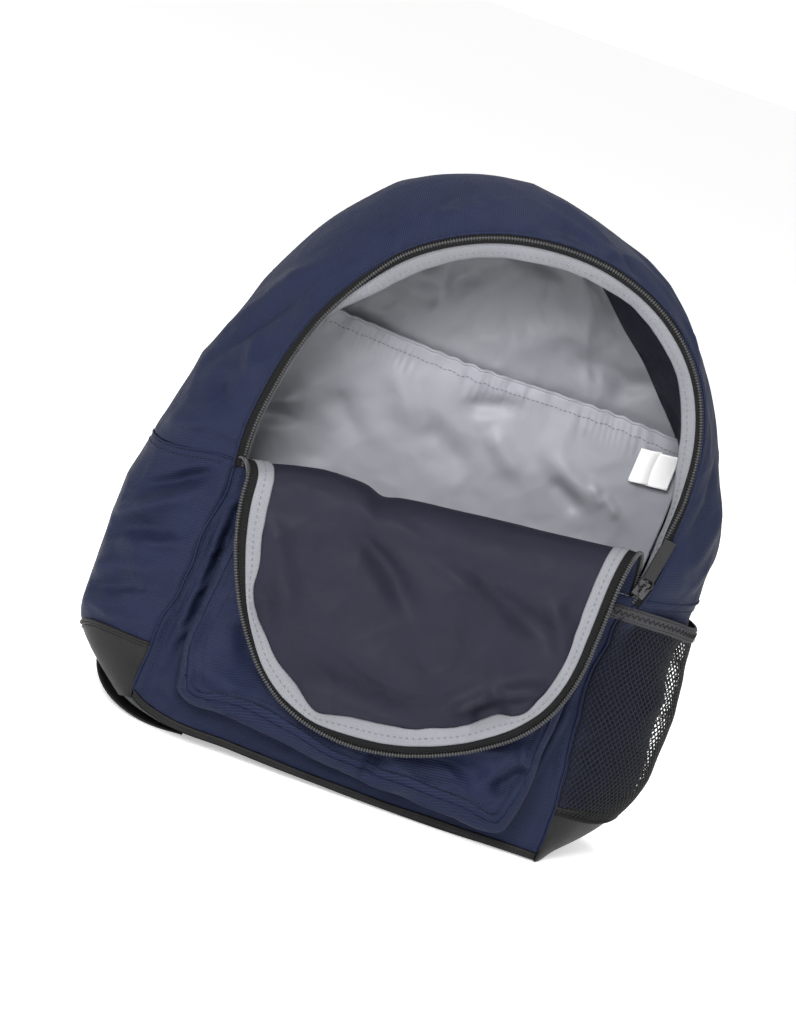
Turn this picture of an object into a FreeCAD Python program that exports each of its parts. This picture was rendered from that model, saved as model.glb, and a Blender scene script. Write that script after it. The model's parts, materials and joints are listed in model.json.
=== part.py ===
"""School backpack standing on its base, main compartment unzipped and its front flap folded down.

Every fabric panel is a separate closed solid, cut from simple sheets.  Units are millimetres.
Frame: +Z up, +X to the wearer-side right as seen from the front, -Y towards the front.
The origin is on the floor, under the middle of the base panel.
"""
import math
import os

import FreeCAD
import Part
from FreeCAD import Vector as V

# ---------------------------------------------------------------- driving dimensions
FRONT_Y = -65.0          # front rim of the gusset
BACK_Y = 65.0            # outer face of the back panel
FABRIC = 2.0             # coated fabric with its seam allowance
ARCH_X, ARCH_Z = 6.0, 261.0     # centre of the round opening: the bag leans a little to its right
ZIP_R = 154.0            # middle of the closed main zip
SEAM_Z = 208.0           # cross seam where the main zip ends
HALF_WIDTH = 152.0       # half of the front panel
BAND_MID_R = 190.0       # radius of the top band where it bulges most
FOLD_Y, FOLD_Z = -88.5, 232.0   # axis about which the flap folds down
ROLL_HALF = 134.0        # half length of the rolled fold, between the zip ends
BASE_THICK = 3.0
UPSTAND_Z = 50.0         # how far the base panel runs up the sides
SLEEVE_TOP_Z = 305.0

# main zip: radii when closed, measured from the arch's centre
COIL_WIDE = 2.8
COIL_GAP = 0.8           # each coil stands this far from the middle line
TAPE_THICK = 1.2
COIL_THICK = 2.6
BODY_COIL = (ZIP_R + COIL_GAP, ZIP_R + COIL_GAP + COIL_WIDE)
BODY_TAPE = (BODY_COIL[1], 163.8)
BAND_FRONT_R = 166.0
BAND_BACK_R = 168.0
FLAP_COIL = (ZIP_R - COIL_GAP - COIL_WIDE, ZIP_R - COIL_GAP)
FLAP_TAPE = (142.3, FLAP_COIL[0])
FLAP_R = 142.0
BINDING_WIDE = 14.0

# front pocket
POCKET_HALF = 125.0
POCKET_LOW, POCKET_TOP = 28.0, 188.0
POCKET_FACE_Y = -105.0
POCKET_CORNER = 22.0
POCKET_ZIP_HALF = 104.0
POCKET_ZIP_Y = -86.0

# sliders and pulls
SLIDER_LONG = 12.0
SLIDER_ANGLE = -17.0     # degrees above the horizontal at the arch's centre
RING_R, RING_WIRE = 5.0, 0.7
TAB_WIDE, TAB_THICK = 9.0, 2.4
MAIN_TAB_LONG, POCKET_TAB_LONG = 32.0, 24.0
TAB_LEAN = 8.0           # degrees that the main pull leans into the opening

# shoulder straps
STRAP_TOP_Z = 385.0
STRAP_LOW_Z = 150.0
STRAP_WIDE = 62.0
STRAP_THICK = 12.0
STRAP_Y = 70.0
WEB_WIDE, WEB_THICK = 25.0, 1.8
LOCK_WIDE, LOCK_TALL, LOCK_THICK = 36.0, 32.0, 6.0
LOOP_HALF, LOOP_REACH, LOOP_WEB, LOOP_THICK = 55.0, 34.0, 22.0, 2.6
LOOP_Z = 413.0

CLEAR = 0.3
PARTS = "parts"
X_AXIS, Y_AXIS, Z_AXIS = V(1, 0, 0), V(0, 1, 0), V(0, 0, 1)
CENTRE = V(ARCH_X, 0, ARCH_Z)


# ---------------------------------------------------------------- small helpers
def save(name, *solids):
    """Write one node; several separate solids share it as a compound."""
    shape = solids[0] if len(solids) == 1 else Part.makeCompound(list(solids))
    shape.exportStep(os.path.join(PARTS, name + ".step"))


def box(x0, x1, y0, y1, z0, z1):
    return Part.makeBox(x1 - x0, y1 - y0, z1 - z0, V(x0, y0, z0))


def above(shape, z):
    """The part of a shape that lies higher than z."""
    return shape.common(box(-400, 400, -400, 400, z, 900))


def below(shape, z):
    return shape.common(box(-400, 400, -400, 400, -400, z))


def wire(points, closed=True):
    return Part.makePolygon(list(points) + ([points[0]] if closed else []))


def arc(a, b, c):
    return Part.Arc(a, b, c).toShape()


def line(a, b):
    return Part.LineSegment(a, b).toShape()


def ring(r0, r1, y0, y1, start=0.0, sweep=360.0):
    """A flat ring round the arch's centre, swept from an angle above +X, as seen from the front."""
    face = Part.Face(wire([V(r0, y0, 0), V(r1, y0, 0), V(r1, y1, 0), V(r0, y1, 0)]))
    turned = face.revolve(V(0, 0, 0), V(0, -1, 0), sweep)
    turned.rotate(V(0, 0, 0), V(0, -1, 0), start)
    turned.translate(CENTRE)
    return turned


def arched_plate(half_low, half_wide, z_low, y0, y1):
    """A flat plate with a round top about the arch's centre and sides that taper to the base."""
    low_left, low_right = V(-half_low, y0, z_low), V(half_low, y0, z_low)
    right, left = V(ARCH_X + half_wide, y0, ARCH_Z), V(ARCH_X - half_wide, y0, ARCH_Z)
    top = V(ARCH_X, y0, ARCH_Z + half_wide)
    outline = Part.Wire([line(low_left, low_right), line(low_right, right),
                         arc(right, top, left), line(left, low_left)])
    return Part.Face(outline).extrude(V(0, y1 - y0, 0))


def rounded_prism(half, z0, z1, radius, y0, y1):
    """A box with its four upright corners, as seen from the front, rounded off."""
    block = box(-half, half, y0, y1, z0, z1)
    edges = [e for e in block.Edges if abs(e.tangentAt(e.FirstParameter).y) > 0.9]
    return block.makeFillet(radius, edges)


# ---------------------------------------------------------------- shell of the bag
def top_band():
    """The gusset that runs over the top, from one cross seam to the other."""
    outer = [V(BAND_FRONT_R, FRONT_Y, 0), V(BAND_MID_R, 5, 0), V(BAND_BACK_R, BACK_Y - 3.2, 0)]
    inner = [p - V(FABRIC, 0, 0) for p in outer]
    outline = Part.Wire([arc(*outer), line(outer[2], inner[2]), arc(*inner[::-1]), line(inner[0], outer[0])])
    turned = Part.Face(outline).revolve(V(0, 0, 0), V(0, -1, 0), 260)
    turned.rotate(V(0, 0, 0), V(0, -1, 0), -40)
    turned.translate(CENTRE)
    return above(turned, SEAM_Z)


def side_section(side, z, front, middle, back, thick=FABRIC):
    """One level of a side gusset: an arc from the front seam round to the back seam."""
    lean = ARCH_X * z / ARCH_Z

    def bow(inset):
        return [V(lean + side * (x - inset), y, z)
                for x, y in ((front, FRONT_Y), (middle, 3), (back, BACK_Y - 3.2))]

    outer, inner = bow(0), bow(thick)
    return Part.Wire([arc(*outer), line(outer[2], inner[2]), arc(*inner[::-1]), line(inner[0], outer[0])])


SIDE_LEVELS = [          # height, then the x of the front seam, of the bulge and of the back seam
    (BASE_THICK, 150, 158, 150),
    (UPSTAND_Z, 152, 188, 156),
    (110, 152, 197, 160),
    (SEAM_Z - CLEAR, 155, 184, 159),
]


def side_wall(side):
    return Part.makeLoft([side_section(side, *level) for level in SIDE_LEVELS], True, False)


def base_panel(walls):
    """Synthetic leather base: floor plate, upstands at both sides, and a lip at the front and back."""
    outline = Part.Wire([line(V(-150, FRONT_Y - 3.4, 0), V(150, FRONT_Y - 3.4, 0)),
                         arc(V(150, FRONT_Y - 3.4, 0), V(158, 0, 0), V(150, BACK_Y + 1.4, 0)),
                         line(V(150, BACK_Y + 1.4, 0), V(-150, BACK_Y + 1.4, 0)),
                         arc(V(-150, BACK_Y + 1.4, 0), V(-158, 0, 0), V(-150, FRONT_Y - 3.4, 0))])
    plate = Part.Face(outline).extrude(V(0, 0, BASE_THICK))
    upstands = [below(wall, UPSTAND_Z) for wall in walls]
    front_lip = box(-148, 148, FRONT_Y - 3.4, FRONT_Y - 2.2, BASE_THICK, 11)
    back_lip = box(-146, 146, BACK_Y + 0.2, BACK_Y + 1.4, BASE_THICK, 14)
    return plate.fuse(upstands + [front_lip, back_lip]).removeSplitter()


def front_panel():
    """Lower front panel with the rolled fold on its top edge, from which the flap hangs."""
    flat = box(-HALF_WIDTH, HALF_WIDTH, FRONT_Y - 2.2, FRONT_Y - CLEAR, BASE_THICK, SEAM_Z)
    radius = FRONT_Y - CLEAR - FOLD_Y - 0.5
    start = V(ARCH_X - ROLL_HALF, FRONT_Y - CLEAR - radius, SEAM_Z)
    roll = Part.makeCylinder(radius, 2 * ROLL_HALF, start, X_AXIS)
    hollow = Part.makeCylinder(radius - FABRIC + 0.1, 2 * ROLL_HALF, start, X_AXIS)
    roll = above(roll.cut(hollow), SEAM_Z)
    return flat.fuse(roll).removeSplitter()


def build_shell():
    left, right = side_wall(-1), side_wall(1)
    save("left_side_panel", above(left, UPSTAND_Z + CLEAR))
    save("right_side_panel", above(right, UPSTAND_Z + CLEAR))
    save("base_panel", base_panel((left, right)))
    save("top_band", top_band())
    save("front_panel", front_panel())
    save("back_panel", arched_plate(158, 168, BASE_THICK, BACK_Y - 3, BACK_Y))
    save("back_foam", arched_plate(146, 158, BASE_THICK + 5, BACK_Y - 9, BACK_Y - 3))
    save("back_lining", arched_plate(146, 158, BASE_THICK + 5, BACK_Y - 10.5, BACK_Y - 9))
    save("base_board", box(-142, 142, FRONT_Y + 6, BACK_Y - 11, BASE_THICK, BASE_THICK + 4))


def build_inside():
    sleeve_y = BACK_Y - 21
    sleeve = below(arched_plate(146, 158, BASE_THICK + 5, sleeve_y, sleeve_y + 1.5), SLEEVE_TOP_Z)
    save("sleeve_panel", sleeve)
    save("sleeve_hem", box(ARCH_X - 148, ARCH_X + 148, sleeve_y - 0.6, sleeve_y + 2.1, SLEEVE_TOP_Z, SLEEVE_TOP_Z + 7))
    save("care_label", box(130, 161, 36, 36.8, 264, 290))


# ---------------------------------------------------------------- main zip and flap
def build_body_zip():
    middle_y = FRONT_Y
    tape = ring(*BODY_TAPE, middle_y - TAPE_THICK / 2, middle_y + TAPE_THICK / 2)
    coil = ring(*BODY_COIL, middle_y - COIL_THICK / 2, middle_y + COIL_THICK / 2)
    binding = ring(BODY_COIL[0] - 9, 160.5, FRONT_Y + 3.8, FRONT_Y + 4.8)
    save("body_zip_tape", above(tape, SEAM_Z))
    save("body_zip_coil", above(coil, SEAM_Z))
    save("body_seam_binding", above(binding, SEAM_Z))


def folded(shape):
    """Turn a closed flap piece half a turn about the fold axis, to where it hangs."""
    turned = shape.copy()
    turned.rotate(V(0, FOLD_Y, FOLD_Z), X_AXIS, 180)
    return turned


def build_flap():
    top = 2 * FOLD_Z - SEAM_Z + CLEAR
    disc = Part.makeCylinder(FLAP_R, FABRIC, V(ARCH_X, FRONT_Y - FABRIC / 2, ARCH_Z), Y_AXIS)
    tape = ring(*FLAP_TAPE, FRONT_Y - TAPE_THICK / 2, FRONT_Y + TAPE_THICK / 2)
    coil = ring(*FLAP_COIL, FRONT_Y - COIL_THICK / 2, FRONT_Y + COIL_THICK / 2)
    face = FRONT_Y + FABRIC / 2
    binding = ring(FLAP_TAPE[0] - BINDING_WIDE, FLAP_TAPE[0] - CLEAR, face, face + 0.8)
    save("flap_panel", folded(above(disc, top)))
    save("flap_zip_tape", folded(above(tape, top)))
    save("flap_zip_coil", folded(above(coil, top)))
    save("flap_seam_binding", folded(above(binding, top)))


# ---------------------------------------------------------------- sliders and pulls
def bail():
    """Wire bridge on a slider's front plate, along the zip, standing towards -Y from y = 0."""
    high, half, wide = 4.4, 3.6, 2.0
    outside = box(-wide / 2, wide / 2, -high, 0, -half, half)
    window = box(-wide, wide, -high + 1.2, 0, -half + 1.1, half - 1.1)
    return outside.cut(window)


def pull_ring():
    """Split ring through the bail, lying along +Z in the slider's own frame."""
    return Part.makeTorus(RING_R, RING_WIRE, V(0, 0, 0), Y_AXIS)


def pull_tab(long):
    """Folded tab with a loop round the ring's far side."""
    z0 = RING_R - 1.6
    tab = box(-TAB_WIDE / 2, TAB_WIDE / 2, -TAB_THICK / 2, TAB_THICK / 2, z0, z0 + long)
    tab = tab.makeFillet(0.8, tab.Edges)
    room = Part.makeTorus(RING_R, RING_WIRE + 0.25, V(0, 0, 0), Y_AXIS)
    return tab.cut(room)


BAIL_MIDDLE = 1.8              # the ring's wire crosses the bail's window this far above the front plate


def placed_on_arch(shape, forward):
    """From a slider's own frame (X outwards, +Z along the zip) to its place on the arch."""
    moved = shape.copy()
    moved.translate(V(ZIP_R, FRONT_Y + forward, 0))
    moved.rotate(V(0, 0, 0), V(0, -1, 0), SLIDER_ANGLE)
    moved.translate(CENTRE)
    return moved


PLATE_HALF, PLATE_THICK, CHANNEL_HALF = 4.8, 1.3, 1.7


def build_main_slider():
    half_angle = math.degrees(SLIDER_LONG / 2 / ZIP_R)
    inner, outer = ZIP_R - PLATE_HALF, ZIP_R + PLATE_HALF
    span = (SLIDER_ANGLE - half_angle, 2 * half_angle)
    front_y = FRONT_Y - CHANNEL_HALF
    front = ring(inner, outer, front_y - PLATE_THICK, front_y, *span)
    rear = ring(inner, outer, FRONT_Y + CHANNEL_HALF, FRONT_Y + CHANNEL_HALF + PLATE_THICK - 0.2, *span)
    post = ring(ZIP_R - 0.5, ZIP_R + 0.5, front_y, FRONT_Y + CHANNEL_HALF,
                SLIDER_ANGLE + half_angle * 0.3, half_angle * 0.6)
    top = -CHANNEL_HALF - PLATE_THICK
    save("main_zip_slider", front.fuse([rear, post, placed_on_arch(bail(), top)]).removeSplitter())
    for name, shape in (("main_zip_ring", pull_ring()), ("main_zip_tab", pull_tab(MAIN_TAB_LONG))):
        shape.translate(V(0, 0, RING_R))
        shape.rotate(V(0, 0, 0), V(0, -1, 0), TAB_LEAN)
        save(name, placed_on_arch(shape, top - BAIL_MIDDLE))


def along_pocket_zip(shape, x):
    """From a slider's own frame to the pocket's top wall: +Z along +X, and -Y up."""
    moved = shape.copy()
    moved.rotate(V(0, 0, 0), X_AXIS, -90)
    moved.rotate(V(0, 0, 0), Z_AXIS, -90)
    moved.translate(V(x, POCKET_ZIP_Y, POCKET_TOP - FABRIC / 2))
    return moved


# ---------------------------------------------------------------- front pocket
def build_pocket():
    outer = rounded_prism(POCKET_HALF, POCKET_LOW, POCKET_TOP, POCKET_CORNER,
                          POCKET_FACE_Y + FABRIC, FRONT_Y - 2.4)
    inner = rounded_prism(POCKET_HALF - FABRIC, POCKET_LOW + FABRIC, POCKET_TOP - FABRIC,
                          POCKET_CORNER - FABRIC, POCKET_FACE_Y, FRONT_Y)
    slot_half = 8.0
    slot = box(-POCKET_ZIP_HALF, POCKET_ZIP_HALF, POCKET_ZIP_Y - slot_half, POCKET_ZIP_Y + slot_half,
               POCKET_TOP - 6, POCKET_TOP + 1)
    save("pocket_gusset", outer.cut(inner).cut(slot))
    save("pocket_face", rounded_prism(POCKET_HALF, POCKET_LOW, POCKET_TOP, POCKET_CORNER,
                                      POCKET_FACE_Y, POCKET_FACE_Y + FABRIC))
    middle_z = POCKET_TOP - FABRIC / 2
    coil_out = COIL_GAP + COIL_WIDE

    def strip(y0, y1, thick):
        return box(-POCKET_ZIP_HALF, POCKET_ZIP_HALF, POCKET_ZIP_Y + y0, POCKET_ZIP_Y + y1,
                   middle_z - thick / 2, middle_z + thick / 2)

    save("pocket_zip_tape", strip(-slot_half, -coil_out, TAPE_THICK), strip(coil_out, slot_half, TAPE_THICK))
    save("pocket_zip_coil", strip(-coil_out, -COIL_GAP, COIL_THICK), strip(COIL_GAP, coil_out, COIL_THICK))


def build_pocket_slider():
    start_x = -POCKET_ZIP_HALF + SLIDER_LONG / 2 + 1
    half_long = SLIDER_LONG / 2
    top = -CHANNEL_HALF - PLATE_THICK
    upper = box(-PLATE_HALF, PLATE_HALF, top, -CHANNEL_HALF, -half_long, half_long)
    lower = box(-PLATE_HALF, PLATE_HALF, CHANNEL_HALF, CHANNEL_HALF + PLATE_THICK, -half_long, half_long)
    post = box(-0.5, 0.5, -CHANNEL_HALF, CHANNEL_HALF, 1, 5)
    loop = bail()
    loop.translate(V(0, top, 0))
    slider = upper.fuse([lower, post, loop]).removeSplitter()
    save("pocket_zip_slider", along_pocket_zip(slider, start_x))
    for name, shape in (("pocket_zip_ring", pull_ring()), ("pocket_zip_tab", pull_tab(POCKET_TAB_LONG))):
        shape.translate(V(0, top - BAIL_MIDDLE, RING_R))
        save(name, along_pocket_zip(shape, start_x))


# ---------------------------------------------------------------- side pocket
MESH_LEVELS = [
    (UPSTAND_Z + 1, 154.3, 194, 158.3),
    (85, 154.3, 207, 161),
    (120, 154.3, 212, 163),
    (196, 158.5, 203, 164),
]


def build_mesh_pocket():
    wall = Part.makeLoft([side_section(1, *level, thick=1.5) for level in MESH_LEVELS], True, False)
    save("mesh_pocket", wall)
    z, front, middle, back = MESH_LEVELS[-1]
    band = side_section(1, z, front + 3.2, middle + 0.5, back + 1.5, thick=2.2)
    save("mesh_pocket_elastic", Part.Face(band).extrude(V(0, 0, 14)))


# ---------------------------------------------------------------- straps and handle
def strap_outline(side, y):
    """S-shaped outline of one padded strap, in the plane of the back."""
    inner = [(22, STRAP_TOP_Z), (24, 340), (36, 270), (58, 200), (74, STRAP_LOW_Z)]
    outer = [(106, STRAP_LOW_Z), (108, 200), (98, 270), (88, 340), (84, STRAP_TOP_Z)]
    rows = [[V(side * x, y, z) for x, z in points] for points in (inner, outer)]
    curves = []
    for points in rows:
        spline = Part.BSplineCurve()
        spline.interpolate(points)
        curves.append(spline.toShape())
    joins = [line(rows[0][-1], rows[1][0]), line(rows[1][-1], rows[0][0])]
    return Part.Wire([curves[0], joins[0], curves[1], joins[1]])


def build_straps():
    mid_y = STRAP_Y + STRAP_THICK / 2
    for side, word in ((-1, "left"), (1, "right")):
        save(word + "_strap", Part.Face(strap_outline(side, STRAP_Y)).extrude(V(0, STRAP_THICK, 0)))
        lock_x = side * 90
        # loop of webbing that carries the ladder lock
        web0, web1 = lock_x - WEB_WIDE / 2, lock_x + WEB_WIDE / 2
        lock_top = STRAP_LOW_Z - 14
        save(word + "_lock_webbing", box(web0, web1, mid_y - 0.9, mid_y + 0.9, lock_top - 7.7, STRAP_LOW_Z))
        frame = box(lock_x - LOCK_WIDE / 2, lock_x + LOCK_WIDE / 2, mid_y - LOCK_THICK / 2,
                    mid_y + LOCK_THICK / 2, lock_top - LOCK_TALL, lock_top)
        upright = [e for e in frame.Edges if abs(e.tangentAt(e.FirstParameter).y) > 0.9]
        frame = frame.makeFillet(4, upright)
        for z0, z1 in ((4, 8), (12, 17), (21, 27)):
            frame = frame.cut(box(lock_x - 13.5, lock_x + 13.5, 0, 200, lock_top - z1, lock_top - z0))
        bar_gap = box(web0 - 0.3, web1 + 0.3, mid_y - 1.2, mid_y + 1.2, lock_top - 8, lock_top + 1)
        save(word + "_ladder_lock", frame.cut(bar_gap))
        # webbing from the ladder lock down to the tab at the base corner
        low = V(side * 136, BACK_Y + 5.5, 40)
        high = V(lock_x, mid_y, lock_top - LOCK_TALL - 8.5)
        along = (high - low).normalize()
        across = along.cross(Y_AXIS).normalize() * (WEB_WIDE / 2)
        thick = V(0, WEB_THICK / 2, 0)
        ends = [Part.Face(wire([p - across - thick, p + across - thick, p + across + thick, p - across + thick]))
                for p in (low, high)]
        save(word + "_lower_webbing", Part.makeLoft([f.OuterWire for f in ends], True, True))
        # free end of the webbing hangs from the ladder lock
        save(word + "_webbing_tail", box(web0, web1, mid_y + 3.4, mid_y + 3.4 + WEB_THICK, 50, lock_top - 4))
        # sewn triangular tab in the side seam
        tab = wire([V(side * 118, BACK_Y + 1.6, 18), V(side * 160, BACK_Y + 1.6, 18),
                    V(side * 160, BACK_Y + 1.6, 58), V(side * 149, BACK_Y + 1.6, 60)])
        save(word + "_base_tab", Part.Face(tab).extrude(V(0, 2.6, 0)))
    yoke = above(arched_plate(158, 166, BASE_THICK, BACK_Y + CLEAR, BACK_Y + 4), STRAP_TOP_Z + 1)
    save("strap_yoke", yoke)
    save("haul_loop", haul_loop())


def haul_loop():
    """Strip of webbing sewn down at both ends, arching backwards from the yoke."""
    root_y = BACK_Y + 4
    low = LOOP_Z - LOOP_WEB / 2

    def arch(inset):
        left, right = [V(ARCH_X + end * (LOOP_HALF - inset), root_y, low) for end in (-1, 1)]
        outline = Part.Wire([arc(left, V(ARCH_X, root_y + LOOP_REACH - inset, low), right), line(right, left)])
        return Part.Face(outline).extrude(V(0, 0, LOOP_WEB))

    return arch(0).cut(arch(LOOP_THICK))


def main():
    os.makedirs(PARTS, exist_ok=True)
    build_shell()
    build_inside()
    build_body_zip()
    build_flap()
    build_main_slider()
    build_pocket()
    build_pocket_slider()
    build_mesh_pocket()
    build_straps()


main()
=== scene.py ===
import json
import math

import bpy
import numpy as np
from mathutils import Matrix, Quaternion, Vector, noise


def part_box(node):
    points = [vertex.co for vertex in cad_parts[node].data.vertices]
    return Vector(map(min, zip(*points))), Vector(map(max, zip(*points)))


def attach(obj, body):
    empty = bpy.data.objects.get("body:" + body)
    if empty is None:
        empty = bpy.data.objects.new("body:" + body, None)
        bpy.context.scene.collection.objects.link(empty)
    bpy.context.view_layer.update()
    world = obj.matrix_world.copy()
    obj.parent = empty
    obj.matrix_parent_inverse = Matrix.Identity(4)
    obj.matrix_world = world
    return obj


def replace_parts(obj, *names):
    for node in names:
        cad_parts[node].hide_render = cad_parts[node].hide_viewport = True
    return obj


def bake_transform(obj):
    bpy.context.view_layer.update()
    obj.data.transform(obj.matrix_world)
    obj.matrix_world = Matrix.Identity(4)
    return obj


# Looks of a school backpack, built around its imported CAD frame.
# The main compartment is unzipped and its front flap hangs folded over the front pocket.
# Cloth panels are grids of points worked out from a few profiles; seams, stitches and zip teeth follow them.
# Tables are in millimetres (and degrees round the opening); points and meshes are in metres.

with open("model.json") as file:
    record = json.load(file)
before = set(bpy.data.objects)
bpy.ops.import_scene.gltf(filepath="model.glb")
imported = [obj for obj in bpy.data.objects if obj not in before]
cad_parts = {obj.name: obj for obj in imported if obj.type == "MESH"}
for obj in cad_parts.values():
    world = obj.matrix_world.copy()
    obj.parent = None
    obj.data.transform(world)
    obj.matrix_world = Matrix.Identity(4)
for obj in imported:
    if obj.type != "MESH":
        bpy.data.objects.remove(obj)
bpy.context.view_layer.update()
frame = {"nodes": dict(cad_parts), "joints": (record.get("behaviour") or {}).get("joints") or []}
MM = 0.001
FORWARD, BACKWARD, UP = (0, -1, 0), (0, 1, 0), (0, 0, 1)

# ------------------------------------------------------------------ places read from the frame
JOINTS = {j["name"]: j for j in frame["joints"]}
ARCH = Vector(JOINTS["main_zip"]["pos_m"])
PULL = Vector(JOINTS["main_pull_swing"]["pos_m"])
FOLD = Vector(JOINTS["flap_fold"]["pos_m"])
ZIP_R = math.hypot(PULL.x - ARCH.x, PULL.z - ARCH.z)
FRONT_Y = ARCH.y
BACK_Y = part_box("back_panel")[1].y
BACK_SEAM_Y = BACK_Y - 3 * MM
SEAM_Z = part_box("top_band")[0].z
BACK_R = 168 * MM
RIM = 7 * MM                  # from the middle of the zip out to the gusset's folded edge

# ------------------------------------------------------------------ profiles
# angle round the opening, drift of the zip line out of a true circle
MOUTH_DRIFT = [(-20, -1), (-12, -3), (-2, -6), (10, -3), (26, 5), (41, 11), (55, 12), (71, 9), (90, 3),
               (104, -1), (114, -4), (125, -7), (137, -11), (151, -13), (165, -14), (178, -12), (190, -6),
               (200, 0)]
# angle, radius of the top gusset half way between its two seams
BAND_R = [(-20, 211), (-10, 203), (3, 194), (13, 184), (24, 179), (37, 177), (63, 181), (89, 188),
          (107, 194), (120, 192), (133, 184), (149, 179), (165, 181), (178, 193), (188, 210), (200, 228)]
# height, x of the side panels' front seam, of their middle, and of their back seam
LEFT_FRONT = [(0, -148), (12, -157), (28, -161), (61, -159), (89, -157), (115, -152), (134, -151),
              (179, -147)]
RIGHT_FRONT = [(0, 150), (18, 152), (44, 151), (64, 150), (83, 147), (114, 142), (145, 141), (172, 144),
               (190, 146)]
LEFT_MIDDLE = [(0, -156), (10, -168), (23, -187), (42, -208), (62, -217), (100, -220), (150, -219)]
RIGHT_MIDDLE = [(0, 166), (12, 183), (35, 203), (60, 209), (110, 209), (160, 204)]
LEFT_BACK = [(0, -150), (50, -156), (110, -160)]
RIGHT_BACK = [(0, 150), (50, 157), (110, 162)]
# share of the way back from the front seam, height of the leather's top edge
LEFT_HEM = [(0, 62), (0.25, 56), (0.5, 43), (0.8, 42), (1, 46)]
RIGHT_HEM = [(0, 43), (0.25, 41), (0.5, 35), (0.8, 38), (1, 46)]
# height of the bag's lower front edge at x, and of its lower side edges at a share of the way back
FRONT_FOOT = [(-163, 23), (-152, 16), (-138, 11), (-83, 7), (-28, 3.5), (26, 1.5), (132, 0.6), (154, 0.6)]
LEFT_FOOT = [(0, 21), (0.25, 12), (0.5, 7), (0.8, 3), (1, 1)]
RIGHT_FOOT = [(0, 0.8), (0.3, 0.7), (0.6, 0.6), (1, 0.6)]
# the flap: x and height of its fold's crest; angle and radius of its zip edge about the middle of its arc
CREST = [(-150, 212), (-132, 215), (-112, 221), (-72, 227), (-54, 226), (-43, 222), (-30, 225), (20, 231),
         (86, 237), (120, 241), (150, 243)]
FLAP_EDGE_R = [(-184, 144), (-176, 143), (-165, 142), (-151, 143), (-137, 147), (-125, 152), (-115, 154),
               (-103, 153), (-90, 150), (-74, 146), (-59, 144), (-47, 143), (-36, 140), (-25, 134),
               (-9, 126), (4, 125)]
# angle, distance from the flap's edge to its binding, and the binding's width
FLAP_BINDING = [(-190, 8.5, 11), (-166, 8.5, 11), (-157, 8, 9.5), (-150, 7, 5), (-143, 6, 6.5),
                (-132, 4.8, 10), (-116, 4.8, 12), (-107, 5.5, 7.5), (-100, 7.5, 11), (-80, 8.5, 12.5),
                (-58, 8.5, 12), (-50, 8.5, 11), (-44, 8.5, 6.5), (-36, 8, 8), (-18, 8, 8.5), (0, 8.5, 9.5),
                (20, 8.5, 10.5)]
# creases: start, end, width, height; those of the flat panels have (x, z) for a start and an end
GUSSET_CREASES = [((-124, -50, 338), (-200, -10, 246), 6, -4), ((-128, -38, 352), (-203, 8, 264), 7, 3),
                  ((-188, -34, 262), (-157, -60, 236), 5, -4), ((-150, -58, 232), (-200, -10, 222), 5, 3.5),
                  ((-150, -60, 262), (-178, -34, 300), 5, 2.5), ((-70, -58, 404), (-12, -34, 437), 5, 3),
                  ((-12, -34, 437), (62, -56, 420), 4.5, 3.5), ((0, -14, 448), (54, -40, 432), 4.5, 3),
                  ((-10, -52, 422), (44, -58, 424), 6, -2.5), ((54, -44, 428), (104, -58, 402), 5, -3),
                  ((60, 0, 446), (150, 0, 380), 7, 3.5), ((80, -30, 430), (150, -40, 372), 6, 2.5),
                  ((182, -56, 225), (196, -5, 300), 8, 3.5), ((172, -60, 250), (186, -24, 330), 6, -3)]
LEFT_CREASES = [((0, -14, 132), (0, -62, 176), 6, 6), ((0, -12, 116), (0, -61, 152), 7, -7.5),
                ((0, -10, 88), (0, -61, 118), 7, 5.5), ((0, -10, 72), (0, -60, 98), 6, -6),
                ((0, -63, 198), (0, -28, 168), 5, -6.5), ((0, -62, 186), (0, -34, 148), 5, 5),
                ((0, -62, 140), (0, -45, 126), 4, 4.5), ((0, -62, 98), (0, -44, 84), 4, 4),
                ((0, -60, 76), (0, -36, 58), 5, 4)]
FRONT_CREASES = [((-153, 50), (-144, 190), 3.5, -5), ((-147, 52), (-138, 196), 4.5, 8),
                 ((-137, 96), (-131, 204), 4, -6), ((-146, 72), (-126, 100), 3.5, 5),
                 ((-144, 108), (-124, 132), 3.5, 5.5), ((-146, 140), (-128, 150), 3.5, 4),
                 ((-142, 176), (-126, 190), 4, 5), ((-150, 40), (-120, 26), 5, 3),
                 ((128, 40), (138, 180), 5, 5), ((138, 60), (143, 150), 3.5, -3.5),
                 ((132, 170), (143, 150), 4, 4), ((-100, 14), (90, 8), 5, 2.5)]
POCKET_CREASES = [((-136, 112), (-138, 76), 8, 5), ((-136, 72), (-70, 54), 9, 7),
                  ((-70, 54), (6, 36), 8, 6), ((16, 36), (112, 42), 9, 7), ((10, 26), (16, 58), 5, -8),
                  ((-108, 112), (-84, 72), 8, -7), ((-96, 84), (-20, 58), 6, -6),
                  ((20, 56), (92, 60), 5, -7.5), ((60, 72), (112, 84), 4.5, 7),
                  ((84, 46), (120, 94), 4.5, 6.5), ((98, 46), (124, 78), 4.5, -7),
                  ((104, 98), (125, 60), 4.5, 6)]
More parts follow.
